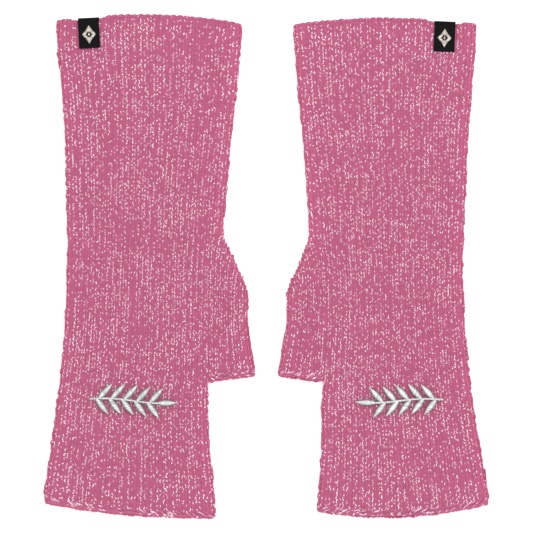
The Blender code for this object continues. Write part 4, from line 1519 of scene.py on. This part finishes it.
class MITTENS_OT_cuff_labels(bpy.types.Operator):
    """Fold the woven labels over the cuffs and sew on their plain lozenges"""

    bl_idname = "mittens.cuff_labels"
    bl_label = "Sew Cuff Labels"

    def execute(self, context):
        settings = context.scene.mitten_trim
        for mitten in MITTENS:
            lay = OUTLINES[mitten.name]
            label = make_label(
                f"{mitten.name}_label_ribbon", lay, settings, label_material(settings)
            )
            motif = make_label_motif(
                f"{mitten.name}_label_lozenge",
                lay,
                settings,
                thread_material("cream label thread", settings.motif_colour, 0.6, 0.0, 5.0, 0.9),
            )
            piece(label, "black_label", f"{mitten.name}_cuff_label")
            piece(motif, "black_label")
        return {"FINISHED"}


class MITTENS_OT_satin_sprigs(bpy.types.Operator):
    """Embroider the raised sprigs in satin stitch"""

    bl_idname = "mittens.satin_sprigs"
    bl_label = "Embroider Sprigs"

    def execute(self, context):
        settings = context.scene.mitten_trim
        thread = thread_material("silver satin thread", settings.thread_colour, 0.32, 0.15, 9.0, 0.22)
        for mitten in MITTENS:
            lay = OUTLINES[mitten.name]
            node = f"{mitten.name}_satin_sprig"
            padding = make_sprig_padding(
                f"{mitten.name}_sprig_padding", lay, settings, padding_material(settings)
            )
            threads = make_sprig_threads(f"{mitten.name}_sprig_threads", lay, settings, thread)
            piece(padding, "silver_thread", node)
            piece(threads, "silver_thread", node)
        return {"FINISHED"}


class MITTENS_OT_stage(bpy.types.Operator):
    """Set out the pale floor, the soft studio light and the camera straight above"""

    bl_idname = "mittens.stage"
    bl_label = "Set Stage"

    def execute(self, context):
        settings = context.scene.mitten_stage
        scene = context.scene
        scene.view_settings.view_transform = "Standard"
        mesh = bpy.data.meshes.new("floor")
        reach = 4.0
        mesh.from_pydata(
            [(-reach, -reach, 0.0), (reach, -reach, 0.0), (reach, reach, 0.0), (-reach, reach, 0.0)],
            [],
            [(0, 1, 2, 3)],
        )
        mesh.materials.append(floor_material(settings))
        floor = bpy.data.objects.new("floor", mesh)
        floor.location.z = -0.0002
        scene.collection.objects.link(floor)
        world = bpy.data.worlds.new("soft studio")
        world.use_nodes = True
        sky = world.node_tree.nodes["Background"]
        sky.inputs["Color"].default_value = (1.0, 1.0, 1.0, 1.0)
        sky.inputs["Strength"].default_value = settings.sky_strength
        scene.world = world
        lamp_data = bpy.data.lights.new("soft studio lamp", "AREA")
        lamp_data.shape = "DISK"
        lamp_data.size = 1.1
        lamp_data.energy = settings.lamp_power
        lamp = bpy.data.objects.new("soft studio lamp", lamp_data)
        lamp.location = (0.45, 0.55, 1.6)
        towards = Vector((0.0, 0.0, 0.0)) - lamp.location
        lamp.rotation_euler = towards.to_track_quat("-Z", "Y").to_euler()
        scene.collection.objects.link(lamp)
        camera_data = bpy.data.cameras.new("straight above")
        camera_data.sensor_width = 36.0
        camera_data.sensor_fit = "HORIZONTAL"
        middle_height = 0.006
        camera_data.lens = 36.0 * (settings.camera_height - middle_height) / settings.frame_width
        camera_data.clip_start = 0.05
        camera_data.clip_end = 50.0
        camera = bpy.data.objects.new("straight above", camera_data)
        camera.location = (0.0, -0.0003, settings.camera_height)
        scene.collection.objects.link(camera)
        scene.camera = camera
        return {"FINISHED"}


STEPS = (
    MITTENS_OT_stage,
    MITTENS_OT_back_panels,
    MITTENS_OT_front_panels,
    MITTENS_OT_cuff_labels,
    MITTENS_OT_satin_sprigs,
)


class MITTENS_PT_pieces(bpy.types.Panel):
    bl_label = "Fingerless Mittens"
    bl_idname = "MITTENS_PT_pieces"
    bl_space_type = "VIEW_3D"
    bl_region_type = "UI"
    bl_category = "Mittens"

    def draw(self, context):
        layout = self.layout
        for step in STEPS:
            layout.operator(step.bl_idname)
        for group in (context.scene.mitten_knit, context.scene.mitten_trim, context.scene.mitten_stage):
            box = layout.box()
            for name in group.bl_rna.properties.keys():
                if name not in ("rna_type", "name"):
                    box.prop(group, name)


SETTINGS = (
    ("mitten_knit", MittenKnitSettings),
    ("mitten_trim", MittenTrimSettings),
    ("mitten_stage", MittenStageSettings),
)


def register():
    for name, group in SETTINGS:
        bpy.utils.register_class(group)
        setattr(bpy.types.Scene, name, bpy.props.PointerProperty(type=group))
    for kind in STEPS:
        bpy.utils.register_class(kind)
    bpy.utils.register_class(MITTENS_PT_pieces)


def unregister():
    bpy.utils.unregister_class(MITTENS_PT_pieces)
    for kind in reversed(STEPS):
        bpy.utils.unregister_class(kind)
    for name, group in reversed(SETTINGS):
        delattr(bpy.types.Scene, name)
        bpy.utils.unregister_class(group)


def main():
    register()
    bpy.ops.mittens.stage()
    bpy.ops.mittens.back_panels()
    bpy.ops.mittens.front_panels()
    bpy.ops.mittens.cuff_labels()
    bpy.ops.mittens.satin_sprigs()


if __name__ == "__main__":
    main()
